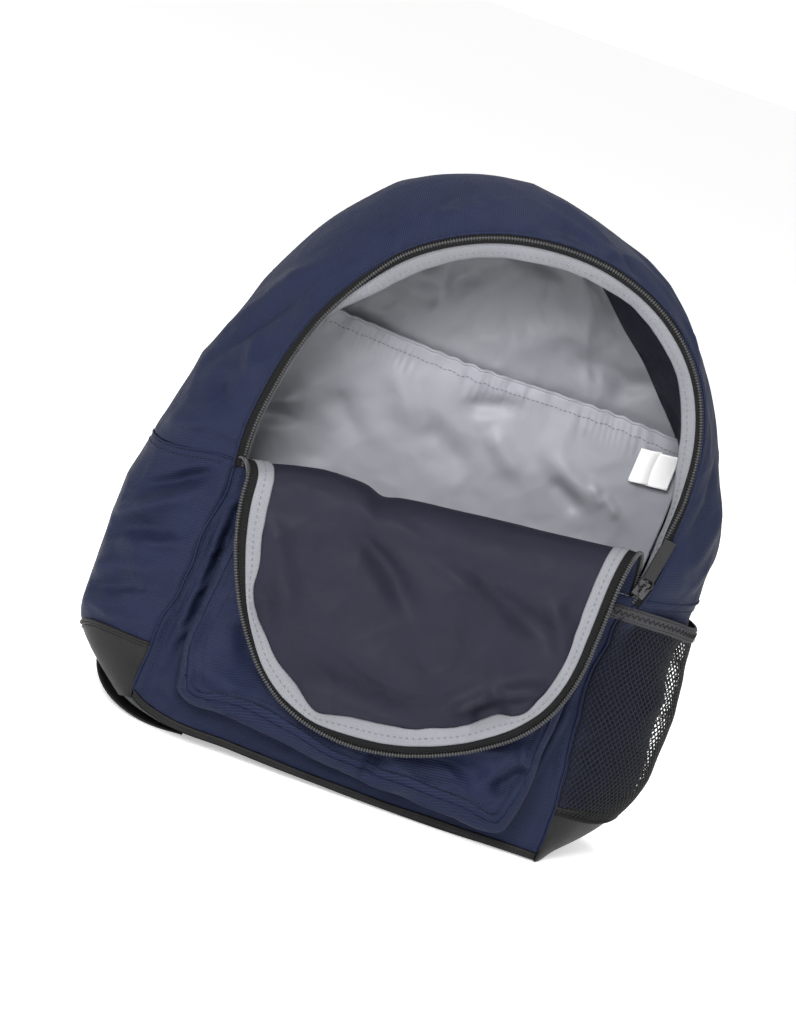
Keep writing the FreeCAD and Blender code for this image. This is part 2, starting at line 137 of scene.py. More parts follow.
FLAP_CREASES = [((-60, 224), (-24, 188), 6, 8), ((-62, 216), (14, 146), 10, -10),
                ((-40, 216), (62, 180), 7, 7.5), ((26, 198), (110, 166), 9, -6.5),
                ((-114, 196), (-74, 118), 9, 5), ((-104, 214), (-66, 212), 7, -5),
                ((48, 98), (78, 125), 6, 8), ((72, 121), (112, 140), 6.5, 8.5),
                ((62, 100), (92, 115), 9, -9), ((-70, 92), (36, 78), 12, -6.5),
                ((-36, 122), (50, 104), 14, 5.5), ((84, 212), (118, 150), 7, 5),
                ((-100, 150), (-84, 84), 10, -5), ((80, 222), (30, 232), 8, -2)]
LINING_CREASES = [((-10, 400), (46, 392), 7, -5), ((-84, 374), (-28, 344), 10, 4.5),
                  ((58, 338), (130, 334), 8, -5), ((16, 330), (78, 368), 12, 4.5),
                  ((96, 318), (136, 346), 7, -4), ((-60, 336), (-12, 384), 9, -3.5),
                  ((-110, 352), (-84, 330), 8, 4)]
SLEEVE_CREASES = [((-116, 236), (-84, 296), 12, 3), ((-6, 276), (46, 296), 7, -5),
                  ((8, 290), (66, 306), 9, 2.2), ((22, 272), (64, 236), 9, 5),
                  ((-24, 258), (24, 232), 10, -4), ((-60, 300), (-24, 244), 10, 4),
                  ((70, 268), (128, 236), 8, 4.5), ((76, 250), (112, 232), 6, -4),
                  ((118, 254), (138, 236), 3.5, 3.5), ((108, 258), (124, 240), 3.5, 3),
                  ((-150, 234), (-110, 244), 5, 5.5), ((-148, 222), (-104, 230), 5, -5.5),
                  ((-92, 262), (-60, 226), 9, -3.5)]


def along(points, x):
    """Smooth curve through a table of (place, value), read at x."""
    px, py = np.array(points, float).T
    slope = np.gradient(py, px)
    x = np.clip(np.asarray(x, float), px[0], px[-1])
    i = np.clip(np.searchsorted(px, x) - 1, 0, len(px) - 2)
    h = px[i + 1] - px[i]
    t = (x - px[i]) / h
    return ((1 + 2 * t) * (1 - t) ** 2 * py[i] + t * (1 - t) ** 2 * h * slope[i]
            + t * t * (3 - 2 * t) * py[i + 1] - t * t * (1 - t) * h * slope[i + 1])


def ease(low, high, x):
    t = np.clip((np.asarray(x, float) - low) / (high - low), 0, 1)
    return t * t * (3 - 2 * t)


def cloud(points, size, seed=0.0):
    """Smooth noise from about -1 to 1 with features of that size; size may differ along the three axes."""
    q = np.asarray(points, float) / np.asarray(size, float) + seed * 7.31
    flat = q.reshape(-1, 3)
    return np.array([noise.noise(Vector(p)) for p in flat]).reshape(q.shape[:-1])


def folds(points, size, seed=0.0):
    """Sharp-crested noise, 0 to 1, like the ridges that slack cloth falls into."""
    return (1 - np.abs(cloud(points, size, seed))) ** 3


def rumple(points, size, seed=0.0):
    """Meandering soft folds with sharp crests, 0 to 1."""
    p = np.asarray(points, float)
    bend = np.stack([cloud(p, 0.09, seed + k) for k in (0.1, 0.2, 0.3)], -1)
    return (1 - np.abs(cloud(p + 0.035 * bend, size, seed + 0.4))) ** 5


def creased(points, table, y=None, view=np.asarray):
    """Height of soft ridges, or of valleys where it is negative. A row is start, end, width and height,
    in mm; where y is given, in metres, starts and ends are (x, z). Distances are taken after view."""
    here, total = view(points), 0
    for start, end, wide, high in table:
        ends = np.array((start, end), float) * MM
        if y is not None:
            ends = np.insert(ends, 1, y, axis=1)
        a, b = view(ends)
        d = b - a
        t = np.clip(((here - a) @ d) / (d @ d), 0, 1)
        off = np.linalg.norm(here - (a + t[..., None] * d), axis=-1)
        taper = ease(0, 0.3, t) * ease(1, 0.6, t)
        total = total + high * MM * np.exp(-(off / (wide * MM)) ** 2) * (0.15 + 0.85 * taper)
    return total


def unrolled(p):
    """The top gusset laid flat: distance round the arch, and y."""
    round_arch = (np.arctan2(p[..., 2] - ARCH.z, p[..., 0] - ARCH.x) + np.pi / 2) % (2 * np.pi)
    return xyz(round_arch * 190 * MM, p[..., 1], 0 * p[..., 1])


def normals(grid):
    n = np.cross(np.gradient(grid, axis=1), np.gradient(grid, axis=0))
    return n / np.maximum(np.linalg.norm(n, axis=2, keepdims=True), 1e-12)


def xyz(x, y, z):
    """Points from their coordinates, each an array or one value for all."""
    return np.stack(np.broadcast_arrays(x, y, z), -1)


def unit(v):
    return v / np.maximum(np.linalg.norm(v, axis=-1, keepdims=True), 1e-12)


# ------------------------------------------------------------------ making meshes
def made(name, verts, faces, look, body, uv=None):
    """A mesh piece that rides on a body; look is the name of its material, or two names."""
    mesh = bpy.data.meshes.new(name)
    mesh.from_pydata(np.asarray(verts).reshape(-1, 3).tolist(), [], [list(map(int, f)) for f in faces])
    for word in look.split():
        mesh.materials.append(looks[word])
    if uv is not None:
        layer = mesh.uv_layers.new(name="UVMap")
        loop = np.zeros(len(mesh.loops), np.int64)
        mesh.loops.foreach_get("vertex_index", loop)
        layer.data.foreach_set("uv", np.asarray(uv, float).reshape(-1, 2)[loop].ravel())
    mesh.shade_smooth()
    piece = bpy.data.objects.new(name, mesh)
    bpy.context.scene.collection.objects.link(piece)
    if body:
        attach(piece, body)
    return piece


def quads(rows, cols, wrap=False, closed=False):
    """Faces of a grid of points; its rows are closed with wrap, and its columns with closed."""
    i = np.arange(rows * cols).reshape(rows, cols)
    if wrap:
        i = np.concatenate([i, i[:, :1]], 1)
    if closed:
        i = np.concatenate([i, i[:1]], 0)
    return np.stack([i[:-1, :-1], i[:-1, 1:], i[1:, 1:], i[1:, :-1]], -1).reshape(-1, 4).tolist()


def caps(rows, ring):
    return [list(range(ring))[::-1], list(range((rows - 1) * ring, rows * ring))]


def metric_uv(grid):
    """Distance along the middle row and the middle column, so that a weave keeps its size."""
    rows, cols = grid.shape[:2]
    across = np.linalg.norm(np.diff(grid[rows // 2], axis=0), axis=1)
    up = np.linalg.norm(np.diff(grid[:, cols // 2], axis=0), axis=1)
    u, v = np.concatenate([[0], np.cumsum(across)]), np.concatenate([[0], np.cumsum(up)])
    return np.stack(np.broadcast_arrays(u[None, :], v[:, None]), -1)


def cloth(name, grid, look, slot, body="bag", thick=1.3, flip=False, wrap=False, uv=None):
    """A cloth panel from a grid of points. Its normal points out; the second look is that of its inside."""
    if flip:
        grid = grid[:, ::-1]
    uv = metric_uv(grid) if uv is None else uv
    piece = made(name, grid, quads(*grid.shape[:2], wrap), look, body, uv)
    if thick:
        wall = piece.modifiers.new("thickness", "SOLIDIFY")
        wall.thickness = thick * MM
        wall.offset = -1
        wall.material_offset = len(look.split()) - 1
    return piece


def sweep(name, path, up, outline, look, body="bag", closed=False):
    """A closed outline of (across, up) points in metres, carried along a path."""
    path = np.asarray(path, float)
    step = np.gradient(path, axis=0)
    if closed:
        step = np.roll(path, -1, 0) - np.roll(path, 1, 0)
    tangent = unit(step)
    up = np.broadcast_to(np.asarray(up, float), path.shape)
    side = unit(np.cross(tangent, up))
    high = np.cross(side, tangent)
    shape = np.array(outline, float)
    grid = path[:, None] + side[:, None] * shape[None, :, :1] + high[:, None] * shape[None, :, 1:]
    n, k = grid.shape[:2]
    faces = quads(n, k, True, closed) + ([] if closed else caps(n, k))
    return made(name, grid, faces, look, body, metric_uv(grid))


def oval(wide, high, sides=8):
    """Outline of a cord or piping; wide and high are in mm."""
    a = np.arange(sides) * 2 * math.pi / sides
    return [(wide * MM / 2 * math.cos(t), high * MM / 2 * math.sin(t)) for t in a]


def flat_band(wide, thick):
    """Outline of webbing, from its size in mm: flat faces and rounded edges."""
    wide, thick = wide * MM, thick * MM
    left = [(-wide / 2 + thick / 2 - math.sin(t) * thick / 2, math.cos(t) * thick / 2)
            for t in np.linspace(0, math.pi, 5)]
    right = [(-x, -y) for x, y in left]
    flats = np.linspace(-wide / 2 + thick, wide / 2 - thick, 7)
    return left + [(x, -thick / 2) for x in flats] + right + [(x, thick / 2) for x in flats[::-1]]


def run_along(path):
    """Distance along a polyline at each of its points."""
    return np.concatenate([[0], np.cumsum(np.linalg.norm(np.diff(path, axis=0), axis=1))])


def relaxed(path, passes):
    """An open path with its bends smoothed and its ends kept."""
    for _ in range(passes):
        path[1:-1] = (path[:-2] + 2 * path[1:-1] + path[2:]) / 4
    return path


def spaced(path, pitch, *others):
    """Points every pitch along a polyline, with their directions and with other values read there."""
    path = np.asarray(path, float)
    run = run_along(path)
    at = np.arange(pitch / 2, run[-1], pitch)

    def read(values):
        return np.stack([np.interp(at, run, values[:, k]) for k in range(values.shape[1])], 1)

    here = read(path)
    return (here, unit(read(np.gradient(path, axis=0)))) + tuple(read(np.asarray(v, float)) for v in others)


def smooth_path(points, count):
    """A smooth path through a few points, given in mm."""
    points = np.array(points, float) * MM
    run = run_along(points)
    at = np.linspace(0, run[-1], count)
    return np.stack([along(np.stack([run, points[:, k]], 1), at) for k in range(3)], 1)


def bead():
    """A small rounded bar one unit long, for stitches and zip teeth."""
    rings = [(-0.42, 0.36), (0, 0.5), (0.42, 0.36)]
    verts = [(-0.5, 0, 0), (0.5, 0, 0)]
    verts += [(x, r * math.cos(a), r * math.sin(a)) for x, r in rings for a in np.arange(5) * 0.4 * math.pi]
    faces = []
    for k in range(5):
        m = (k + 1) % 5
        faces += [(0, 2 + m, 2 + k), (1, 12 + k, 12 + m)]
        faces += [(a + k, a + m, a + m + 5, a + k + 5) for a in (2, 7)]
    return np.array(verts), faces


def stamped(name, places, long_axis, up, size, look, body="bag"):
    """One bead at each place, its length along long_axis; size is (long, wide, high) in mm."""
    verts, faces = bead()
    long_axis = unit(long_axis)
    side = unit(np.cross(up, long_axis))
    up = np.cross(long_axis, side)
    size = np.array(size) * MM
    grid = (places[:, None] + verts[None, :, :1] * size[0] * long_axis[:, None]
            + verts[None, :, 1:2] * size[1] * side[:, None] + verts[None, :, 2:] * size[2] * up[:, None])
    k = len(verts)
    every = [tuple(v + n * k for v in f) for n in range(len(places)) for f in faces]
    return made(name, grid, every, look, body)


FINE = {"pitch": 3.0, "size": (2.0, 0.6, 0.5)}          # stitches along a zip's tape


def stitches(name, path, up, look, slot="webbing", body="bag", pitch=3.4, size=(2.3, 0.55, 0.5)):
    """A row of stitches along a path that lies on a surface; up is the surface's normal along it."""
    up = np.broadcast_to(np.asarray(up, float), np.shape(path))
    places, way, high = spaced(path, pitch * MM, up)
    return stamped(name, places, way, high, size, look, body)


def zip_teeth(name, core, up, pitch=2.0, size=(3.3, 0.9, 2.3), body="bag"):
    """The teeth of a zip, across the core of its coil; their grey colour is a painted highlight on black
    plastic.
    """
    places, way, high = spaced(core, pitch * MM, np.broadcast_to(np.asarray(up, float), core.shape))
    return stamped(name, places, np.cross(way, high), high, size, "teeth", body)


# ------------------------------------------------------------------ materials
class Look:
    """A procedural material; patterns are sized in millimetres."""

    def __init__(self, name, rough, coords="UV", shine=0.5, **sockets):
        self.material = bpy.data.materials.new(name)
        self.material.use_nodes = True
        self.nodes, self.links = self.material.node_tree.nodes, self.material.node_tree.links
        self.shader = self.nodes["Principled BSDF"]
        self.shader.inputs["Roughness"].default_value = rough
        self.shader.inputs["Specular IOR Level"].default_value = shine
        for socket, value in sockets.items():
            self.shader.inputs[socket.replace("_", " ")].default_value = value
        self.coords = self.nodes.new("ShaderNodeTexCoord").outputs[coords]

    def set(self, node, socket, value):
        if isinstance(value, bpy.types.NodeSocket):
            self.links.new(value, node.inputs[socket])
        else:
            node.inputs[socket].default_value = value

    def lines(self, pitch, angle=0.0, wobble=0.0):
        """Even bands across a direction, 0 to 1."""
        turn = self.nodes.new("ShaderNodeMapping")
        self.set(turn, "Vector", self.coords)
        turn.inputs["Rotation"].default_value = (0, 0, math.radians(angle))
        wave = self.nodes.new("ShaderNodeTexWave")
        self.set(wave, "Vector", turn.outputs[0])
        wave.inputs["Scale"].default_value = math.pi / 10 / (pitch * MM)
        wave.inputs["Distortion"].default_value = wobble
        wave.inputs["Detail Scale"].default_value = 1.5
        return wave.outputs["Fac"]

    def grain(self, size, detail=3.0):
        tex = self.nodes.new("ShaderNodeTexNoise")
        self.set(tex, "Vector", self.coords)
        tex.inputs["Scale"].default_value = 1 / (size * MM)
        tex.inputs["Detail"].default_value = detail
        return tex.outputs["Fac"]

    def cells(self, size):
        tex = self.nodes.new("ShaderNodeTexVoronoi")
        tex.feature = "DISTANCE_TO_EDGE"
        self.set(tex, "Vector", self.coords)
        tex.inputs["Scale"].default_value = 1 / (size * MM)
        return self.span(tex.outputs["Distance"], 0, 0.25, 0, 1)

    def span(self, value, low, high, to_low, to_high, kind="LINEAR"):
        node = self.nodes.new("ShaderNodeMapRange")
        node.interpolation_type = kind
        for socket, v in zip(("Value", "From Min", "From Max", "To Min", "To Max"),
                             (value, low, high, to_low, to_high)):
            self.set(node, socket, v)
        return node.outputs[0]

    def sum(self, a, b, operation="ADD"):
        node = self.nodes.new("ShaderNodeMath")
        node.operation = operation
        self.set(node, 0, a)
        self.set(node, 1, b)
        return node.outputs[0]

    def mix(self, share, a, b):
        node = self.nodes.new("ShaderNodeMix")
        node.data_type = "RGBA"
        for socket, v in ((0, share), (6, a), (7, b)):
            self.set(node, socket, v if isinstance(v, (float, bpy.types.NodeSocket)) else (*v, 1))
        return node.outputs[2]

    def wrinkles(self, size):
        """Crests of small slack folds, 0 to 1."""
        off = self.sum(self.sum(self.grain(size, 2.5), 0.5, "SUBTRACT"), 0.0, "ABSOLUTE")
        return self.span(off, 0.0, 0.16, 1.0, 0.0, "SMOOTHSTEP")

    def finish(self, colour, height, deep, strength=1.0, rough=None, slack=None):
        """Colour, a bump whose full height is deep (in mm), and an uneven roughness if one is given.
        slack is (size, height) of small wrinkles under that, in mm."""
        self.set(self.shader, "Base Color", colour)
        bump = self.nodes.new("ShaderNodeBump")
        bump.inputs["Distance"].default_value = deep * MM
        bump.inputs["Strength"].default_value = strength
        self.set(bump, "Height", height)
        self.links.new(bump.outputs[0], self.shader.inputs["Normal"])
        if slack:
            under = self.nodes.new("ShaderNodeBump")
            under.inputs["Distance"].default_value = slack[1] * MM
            self.set(under, "Height", self.wrinkles(slack[0]))
            self.links.new(under.outputs[0], bump.inputs["Normal"])
        if rough is not None:
            self.set(self.shader, "Roughness", rough)
        return self.material


def shade(colour, k):
    return tuple(c * k for c in colour)


def woven(name, colour, pitch, angle, rough, deep=0.12, contrast=0.3, patchy=0.12, coords="UV", slack=None,
          **sockets):
    """Cloth with diagonal or straight threads, finer cross threads, and slightly uneven dyeing."""
    look = Look(name, rough, coords, **sockets)
    ribs = look.lines(pitch, angle, 0.6)
    cross = look.lines(pitch * 0.62, angle + 90, 0.6)
    weave = look.sum(look.span(ribs, 0, 1, 0, 0.72), look.span(cross, 0, 1, 0, 0.28))
    dye = look.grain(38, 4.0)
    fuzz = look.grain(1.4, 2.0)
    base = look.mix(weave, shade(colour, 1 - contrast), shade(colour, 1 + contrast))
    patches = look.span(dye, 0.3, 0.7, 0, 1)
    tint = look.mix(patches, shade(colour, 1 - 2 * patchy), shade(colour, 1 + 2 * patchy))
    both = look.mix(0.35, base, tint)
    height = look.sum(weave, look.span(fuzz, 0, 1, 0, 0.3))
    return look.finish(both, height, deep, 0.8, look.span(dye, 0.3, 0.7, rough - 0.06, rough + 0.06), slack)


def moulded(name, colour, rough, deep=0.05, **sockets):
    """Plastic, rubber or metal: fine grain, a few scuffs and a slightly uneven gloss."""
    look = Look(name, rough, "Object", **sockets)
    fine, wide = look.grain(0.5, 2.0), look.grain(9, 4.0)
    colours = look.mix(look.span(wide, 0.35, 0.7, 0, 1), shade(colour, 0.85), shade(colour, 1.2))
    return look.finish(colours, fine, deep, 0.5, look.span(wide, 0.3, 0.7, rough * 0.8, rough * 1.25))


def leather_look():
    look = Look("leather", 0.45, shine=0.16)
    pebbles, mottle = look.cells(0.9), look.grain(22, 4.0)
    patches = look.span(mottle, 0.35, 0.68, 0, 1)
    colours = look.mix(patches, (0.0062, 0.0062, 0.0066), (0.0112, 0.0110, 0.0116))
    return look.finish(colours, look.sum(pebbles, look.grain(0.4, 2.0)), 0.14, 0.55,
                       look.span(mottle, 0.3, 0.7, 0.42, 0.58))


NAVY = (0.0098, 0.0134, 0.0335)
looks = {
    "shell": woven("shell_twill", NAVY, 1.5, 84, 0.6, 0.26, 0.6, 0.1, slack=(75, 2.2), shine=0.1),
    "coated": woven("coated_inside", (0.0112, 0.0108, 0.0205), 0.9, 45, 0.6, 0.07, 0.2, 0.08,
                    slack=(60, 1.0), shine=0.14),
    "lining": woven("grey_lining", (0.168, 0.172, 0.192), 0.7, 0, 0.45, 0.05, 0.07, 0.05,
                    slack=(70, 1.6), shine=0.35),
    # sleeve: the same grey lining cloth as above, its colour painted about half as bright again, as painted
    # light where direct light falls inside the opening
    "sleeve": woven("sleeve_lining_painted_light", (0.25, 0.255, 0.283), 0.7, 0, 0.45, 0.05, 0.07, 0.05,
                    slack=(80, 1.6), shine=0.35),
    "binding": woven("seam_binding", (0.172, 0.176, 0.192), 1.1, 0, 0.8, 0.2, 0.16, 0.1, shine=0.3),
    "tape": woven("zip_tape", (0.007, 0.007, 0.0075), 1.0, 60, 0.85, 0.15, 0.35, 0.1, shine=0.12),
    "elastic": woven("elastic", (0.036, 0.036, 0.040), 1.6, 90, 0.8, 0.3, 0.35, 0.1, shine=0.2),
    "webbing": woven("webbing", (0.006, 0.006, 0.007), 2.2, 0, 0.7, 0.35, 0.4, 0.1, shine=0.25),
    "air_mesh": woven("air_mesh", (0.007, 0.007, 0.009), 2.6, 45, 0.85, 0.6, 0.6, 0.08, shine=0.2),
    "strap_cloth": woven("strap_twill", NAVY, 1.5, 84, 0.62, 0.26, 0.6, 0.1, coords="Object", shine=0.1),
    "label": woven("label_satin", (0.82, 0.82, 0.82), 0.5, 0, 0.5, 0.03, 0.03, 0.02, Sheen_Weight=0.1),
    "leather": leather_look(),
    "coil": moulded("zip_coil", (0.003, 0.003, 0.0033), 0.5, shine=0.35),
    # teeth: the coil's black plastic painted grey, a painted highlight standing in for the glints along the
    # teeth
    "teeth": moulded("zip_teeth", (0.050, 0.050, 0.052), 0.3, shine=0.5),
    "net": moulded("net_thread", (0.006, 0.006, 0.0065), 0.5, shine=0.3),
    "navy_thread": moulded("navy_thread", (0.010, 0.014, 0.034), 0.6, shine=0.25),
    "grey_thread": moulded("grey_thread", (0.13, 0.13, 0.15), 0.6),
    "seam_thread": moulded("seam_thread", (0.006, 0.008, 0.02), 0.6, shine=0.2),
    "black_thread": moulded("black_thread", (0.005, 0.005, 0.006), 0.55, shine=0.25),
    "pale_thread": moulded("pale_thread", (0.6, 0.6, 0.62), 0.6),
    "metal": moulded("slider_metal", (0.05, 0.05, 0.052), 0.24, 0.02, Metallic=0.9),
    "black_metal": moulded("ring_metal", (0.03, 0.03, 0.032), 0.3, 0.02, Metallic=0.8),
    "rubber": moulded("pull_rubber", (0.007, 0.007, 0.0075), 0.5, 0.08, shine=0.3),
    "plastic": moulded("buckle_plastic", (0.007, 0.007, 0.008), 0.4, 0.06, shine=0.35),
}


# ------------------------------------------------------------------ camera, floor and light
CAMERA = {"azimuth": -5, "elevation": 12, "roll": 20, "distance": 2.2, "aim": (-26, 207.6), "view": 724}


def set_camera():
    data = bpy.data.cameras.new("camera")
    camera = bpy.data.objects.new("camera", data)
    bpy.context.scene.collection.objects.link(camera)
    a, e = math.radians(CAMERA["azimuth"]), math.radians(CAMERA["elevation"])
    back = Vector((math.sin(a) * math.cos(e), -math.cos(a) * math.cos(e), math.sin(e)))
    aim = Vector((CAMERA["aim"][0] * MM, FRONT_Y, CAMERA["aim"][1] * MM))
    camera.rotation_mode = "QUATERNION"
    camera.location = aim + back * CAMERA["distance"]
    turn = Quaternion(UP, math.radians(CAMERA["roll"]))
    camera.rotation_quaternion = (-back).to_track_quat("-Z", "Y") @ turn
    data.sensor_width = 36
    data.lens = data.sensor_width * CAMERA["distance"] / (CAMERA["view"] * MM)
    bpy.context.scene.camera = camera


def lay_floor():
    floor = bpy.data.meshes.new("floor")
    reach = 12
    floor.from_pydata([(-reach, -reach, 0), (reach, -reach, 0), (reach, reach, 0), (-reach, reach, 0)],
                      [], [(0, 1, 2, 3)])
    pale = Look("pale_floor", 0.9, "Object")
    tones = pale.mix(pale.grain(300, 2.0), (0.95, 0.95, 0.95), (0.97, 0.97, 0.97))
    pale.finish(tones, pale.grain(3, 2.0), 0.02, 0.1)
    floor.materials.append(pale.material)
    pale.shader.inputs["Emission Color"].default_value = (1, 1, 1, 1)
    pale.shader.inputs["Emission Strength"].default_value = 0.42
    plane = bpy.data.objects.new("floor", floor)
    bpy.context.scene.collection.objects.link(plane)


def light_up():
    """A pale sky, darker overhead, and three soft lamps."""
    world = bpy.data.worlds.new("studio")
    world.use_nodes = True
    sky, join = world.node_tree.nodes, world.node_tree.links
    split, ramp = sky.new("ShaderNodeSeparateXYZ"), sky.new("ShaderNodeMapRange")
    join.new(sky.new("ShaderNodeTexCoord").outputs["Generated"], split.inputs[0])
    join.new(split.outputs["Z"], ramp.inputs["Value"])
    for socket, value in (("From Min", 0.3), ("From Max", 0.7), ("To Min", 1.02), ("To Max", 0.38)):
        ramp.inputs[socket].default_value = value
    join.new(ramp.outputs[0], sky["Background"].inputs["Strength"])
    sky["Background"].inputs["Color"].default_value = (1, 1, 1, 1)
    bpy.context.scene.world = world
    bpy.context.scene.view_settings.view_transform = "Standard"
    for name, place, size, power in (("key", (-0.75, -2.3, 1.5), 1.0, 85), ("fill", (1.2, -2.4, 0.9), 1.6, 9),
                                     ("top", (0.1, 0.4, 2.4), 0.9, 34)):
        lamp = bpy.data.lights.new(name, "AREA")
        lamp.size = size
        lamp.energy = power
        light = bpy.data.objects.new(name, lamp)
        light.location = place
        light.rotation_mode = "QUATERNION"
        light.rotation_quaternion = (Vector((0, 0, 0.22)) - Vector(place)).to_track_quat("-Z", "Y")
        bpy.context.scene.collection.objects.link(light)


# ------------------------------------------------------------------ the shell
SIDES = ((-1, "left"), (1, "right"))


def back_at(w):
    """y at a share of the way from the front seam to the back one."""
    return FRONT_Y + (BACK_SEAM_Y - FRONT_Y) * w


def drift(angle):
    return along(MOUTH_DRIFT, angle) * MM


def ring_point(angle, radius, y):
    """Points round the opening: angle in degrees above +X at the arch's centre."""
    a = np.radians(angle)
    return xyz(ARCH.x + radius * np.cos(a), y, ARCH.z + radius * np.sin(a))


def mouth(angle, out, forward):
    """A place by the closed line of the main zip: out from it in its plane, and forward of it, in metres."""
    sway = 1.5 * MM * np.sin(np.radians(angle) * 3)
    return ring_point(angle, ZIP_R + drift(angle) + out, FRONT_Y - forward + sway)


def slump(grid):
    """The left side sinks a little where the top gusset meets the side panel."""
    sink = ease(-0.150, -0.205, grid[..., 0]) * np.exp(-((grid[..., 2] - 0.21) / 0.06) ** 2)
    grid = grid.copy()
    grid[..., 2] -= 13 * MM * sink
    return grid


LEFT_LIMIT = -210 * MM
LEFT_GIVE = 6.5 * MM


def reined(grid):
    """The left side bulges past its limit by no more than it can give."""
    over = np.maximum(0, LEFT_LIMIT - grid[..., 0])
    grid = grid.copy()
    grid[..., 0] += over - LEFT_GIVE * np.tanh(over / LEFT_GIVE)
    return grid


def band_radius(angle, w):
    front = ZIP_R + drift(angle) + RIM
    middle = along(BAND_R, angle) * MM
    return front + (BACK_R - front) * w + (middle - (front + BACK_R) / 2) * np.sin(np.pi * w) ** 0.8


def band_grid():
    """Top gusset, from the right cross seam over the top to the left one, and from front to back."""
    w = np.linspace(0, 1, 64)[None, :]
    drop = ARCH.z - SEAM_Z
    ends = []
    for first in (-18.0, 198.0):
        low = np.degrees(np.arcsin(drop / band_radius(np.full_like(w, first), w)))
        ends.append(-low if first < 0 else 180 + low)
    t = np.linspace(0, 1, 330)[:, None]
    angle = ends[0] + (ends[1] - ends[0]) * t
    return ring_point(angle, band_radius(angle, np.broadcast_to(w, angle.shape)), back_at(w))


def side_x(side, z, w):
    """x of a side panel at a height and a share of the way back; its top row joins the top gusset."""
    top = BAND[0] if side > 0 else BAND[-1]
    middle = top[len(top) // 2, 0] / MM
    front_table, middle_table, back_table = (
        (RIGHT_FRONT, RIGHT_MIDDLE, RIGHT_BACK) if side > 0 else (LEFT_FRONT, LEFT_MIDDLE, LEFT_BACK))
    seam = SEAM_Z / MM
    front = along(front_table + [(seam, top[0, 0] / MM)], z / MM)
    lumps = xyz(0, 0, z)
    wobble = 3.0 * cloud(lumps, 0.045, 5 + side) + 1.6 * cloud(lumps, 0.018, 9 + side)
    front = front + wobble * ease(0.012, 0.04, z) * ease(0.205, 0.18, z)
    centre = along(middle_table + [(seam, middle)], z / MM)
    back = along(back_table + [(seam, top[-1, 0] / MM)], z / MM)
    return (front + (back - front) * w + (centre - (front + back) / 2) * np.sin(np.pi * w) ** 0.8) * MM


def hem(side, w):
    return along(RIGHT_HEM if side > 0 else LEFT_HEM, w) * MM


def foot(side, w):
    return along(RIGHT_FOOT if side > 0 else LEFT_FOOT, w) * MM


def front_foot(x):
    return along(FRONT_FOOT, x / MM) * MM


def side_grid(side, low, high, rows, cols=64):
    """Side wall between two heights, each a number or one value per column."""
    w = np.linspace(0, 1, cols)
    t = np.linspace(0, 1, rows)[:, None]
    z = low + (high - low) * t + 0 * w[None, :]
    x = side_x(side, z, np.broadcast_to(w, z.shape))
    return xyz(x, back_at(w), z)


def pushed(grid, height, flip=1):
    return grid + normals(grid) * (flip * height)[..., None]


BAND = band_grid()


def edge_fade(grid, reach=14):
    """0 at a panel's seams and 1 inside it, so that neighbouring panels still meet."""
    rows, cols = grid.shape[:2]
    i, j = np.arange(rows)[:, None], np.arange(cols)[None, :]
    return ease(0, reach, np.minimum(i, rows - 1 - i)) * ease(0, reach * 0.6, np.minimum(j, cols - 1 - j))


def make_shell():
    grid = BAND
    slack = (2.6 * cloud(grid, (0.13, 0.10, 0.13), 1) + 3.2 * rumple(grid, (0.12, 0.10, 0.12), 2)
             - 1.0 + 1.1 * rumple(grid, 0.06, 3.5) * ease(0.42, 0.30, grid[..., 2])
             + 0.3 * cloud(grid, 0.02, 3)) * MM
    slack += creased(grid, GUSSET_CREASES, view=unrolled)
    band = reined(slump(pushed(grid, slack * edge_fade(grid, 8))))
    piece = cloth("top_gusset", band, "shell coated", "shell_fabric")
    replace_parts(piece, "top_band")
    for side, word in SIDES:
        grid = side_grid(side, hem(side, np.linspace(0, 1, 64)), SEAM_Z, 84, 64)
        slack = (2.6 * cloud(grid, (0.10, 0.08, 0.09), 4 + side)
                 + 3.4 * rumple(grid, (0.12, 0.12, 0.07), 6 + side)
                 - 1.2 + 1.0 * rumple(grid, 0.05, 8.5) + 0.3 * cloud(grid, 0.018, 8)) * MM
        if side < 0:
            slack += creased(grid * (0, 1, 1), LEFT_CREASES)
        grid = reined(slump(pushed(grid, slack * edge_fade(grid, 8), side)))
        piece = cloth(word + "_side_cloth", grid, "shell coated", "shell_fabric", flip=side < 0)
        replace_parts(piece, word + "_side_panel")
        row = grid[-4, 2:-2]
        out = normals(grid)[-4, 2:-2] * side
        stitches(word + "_cross_stitches", row + out * 0.3 * MM, out, "seam_thread", pitch=3.8,
                 size=(2.6, 0.8, 0.6))
        seam_ridge(word + "_cross_seam", grid[-1] + out.mean(0) * 0.4 * MM, (side, 0, 0), high=1.4)


def strip(name, outer, inner, look, slot, **facts):
    """Cloth between two edge paths; it faces forward where they run anticlockwise seen from the front."""
    t = np.linspace(0, 1, 4)[:, None, None]
    return cloth(name, outer[None] * (1 - t) + inner[None] * t, look, slot, **facts)


def seam_ridge(name, path, up, high=1.6):
    """The narrow fold of cloth that stands along a seam."""
    return sweep(name, path, up, oval(1.8, high, 6), "shell")


# ------------------------------------------------------------------ base
LOWEST = 0.4 * MM
BACK_HEM = [(0, 46), (0.15, 40), (0.5, 36), (0.85, 40), (1, 46)]
UNDER_WEB = [(-118, -34, 1.4), (-142, -36, 1.8), (-165, -24, 5.5), (-180, 4, 13), (-177, 40, 24),
             (-157, 67.5, 34)]


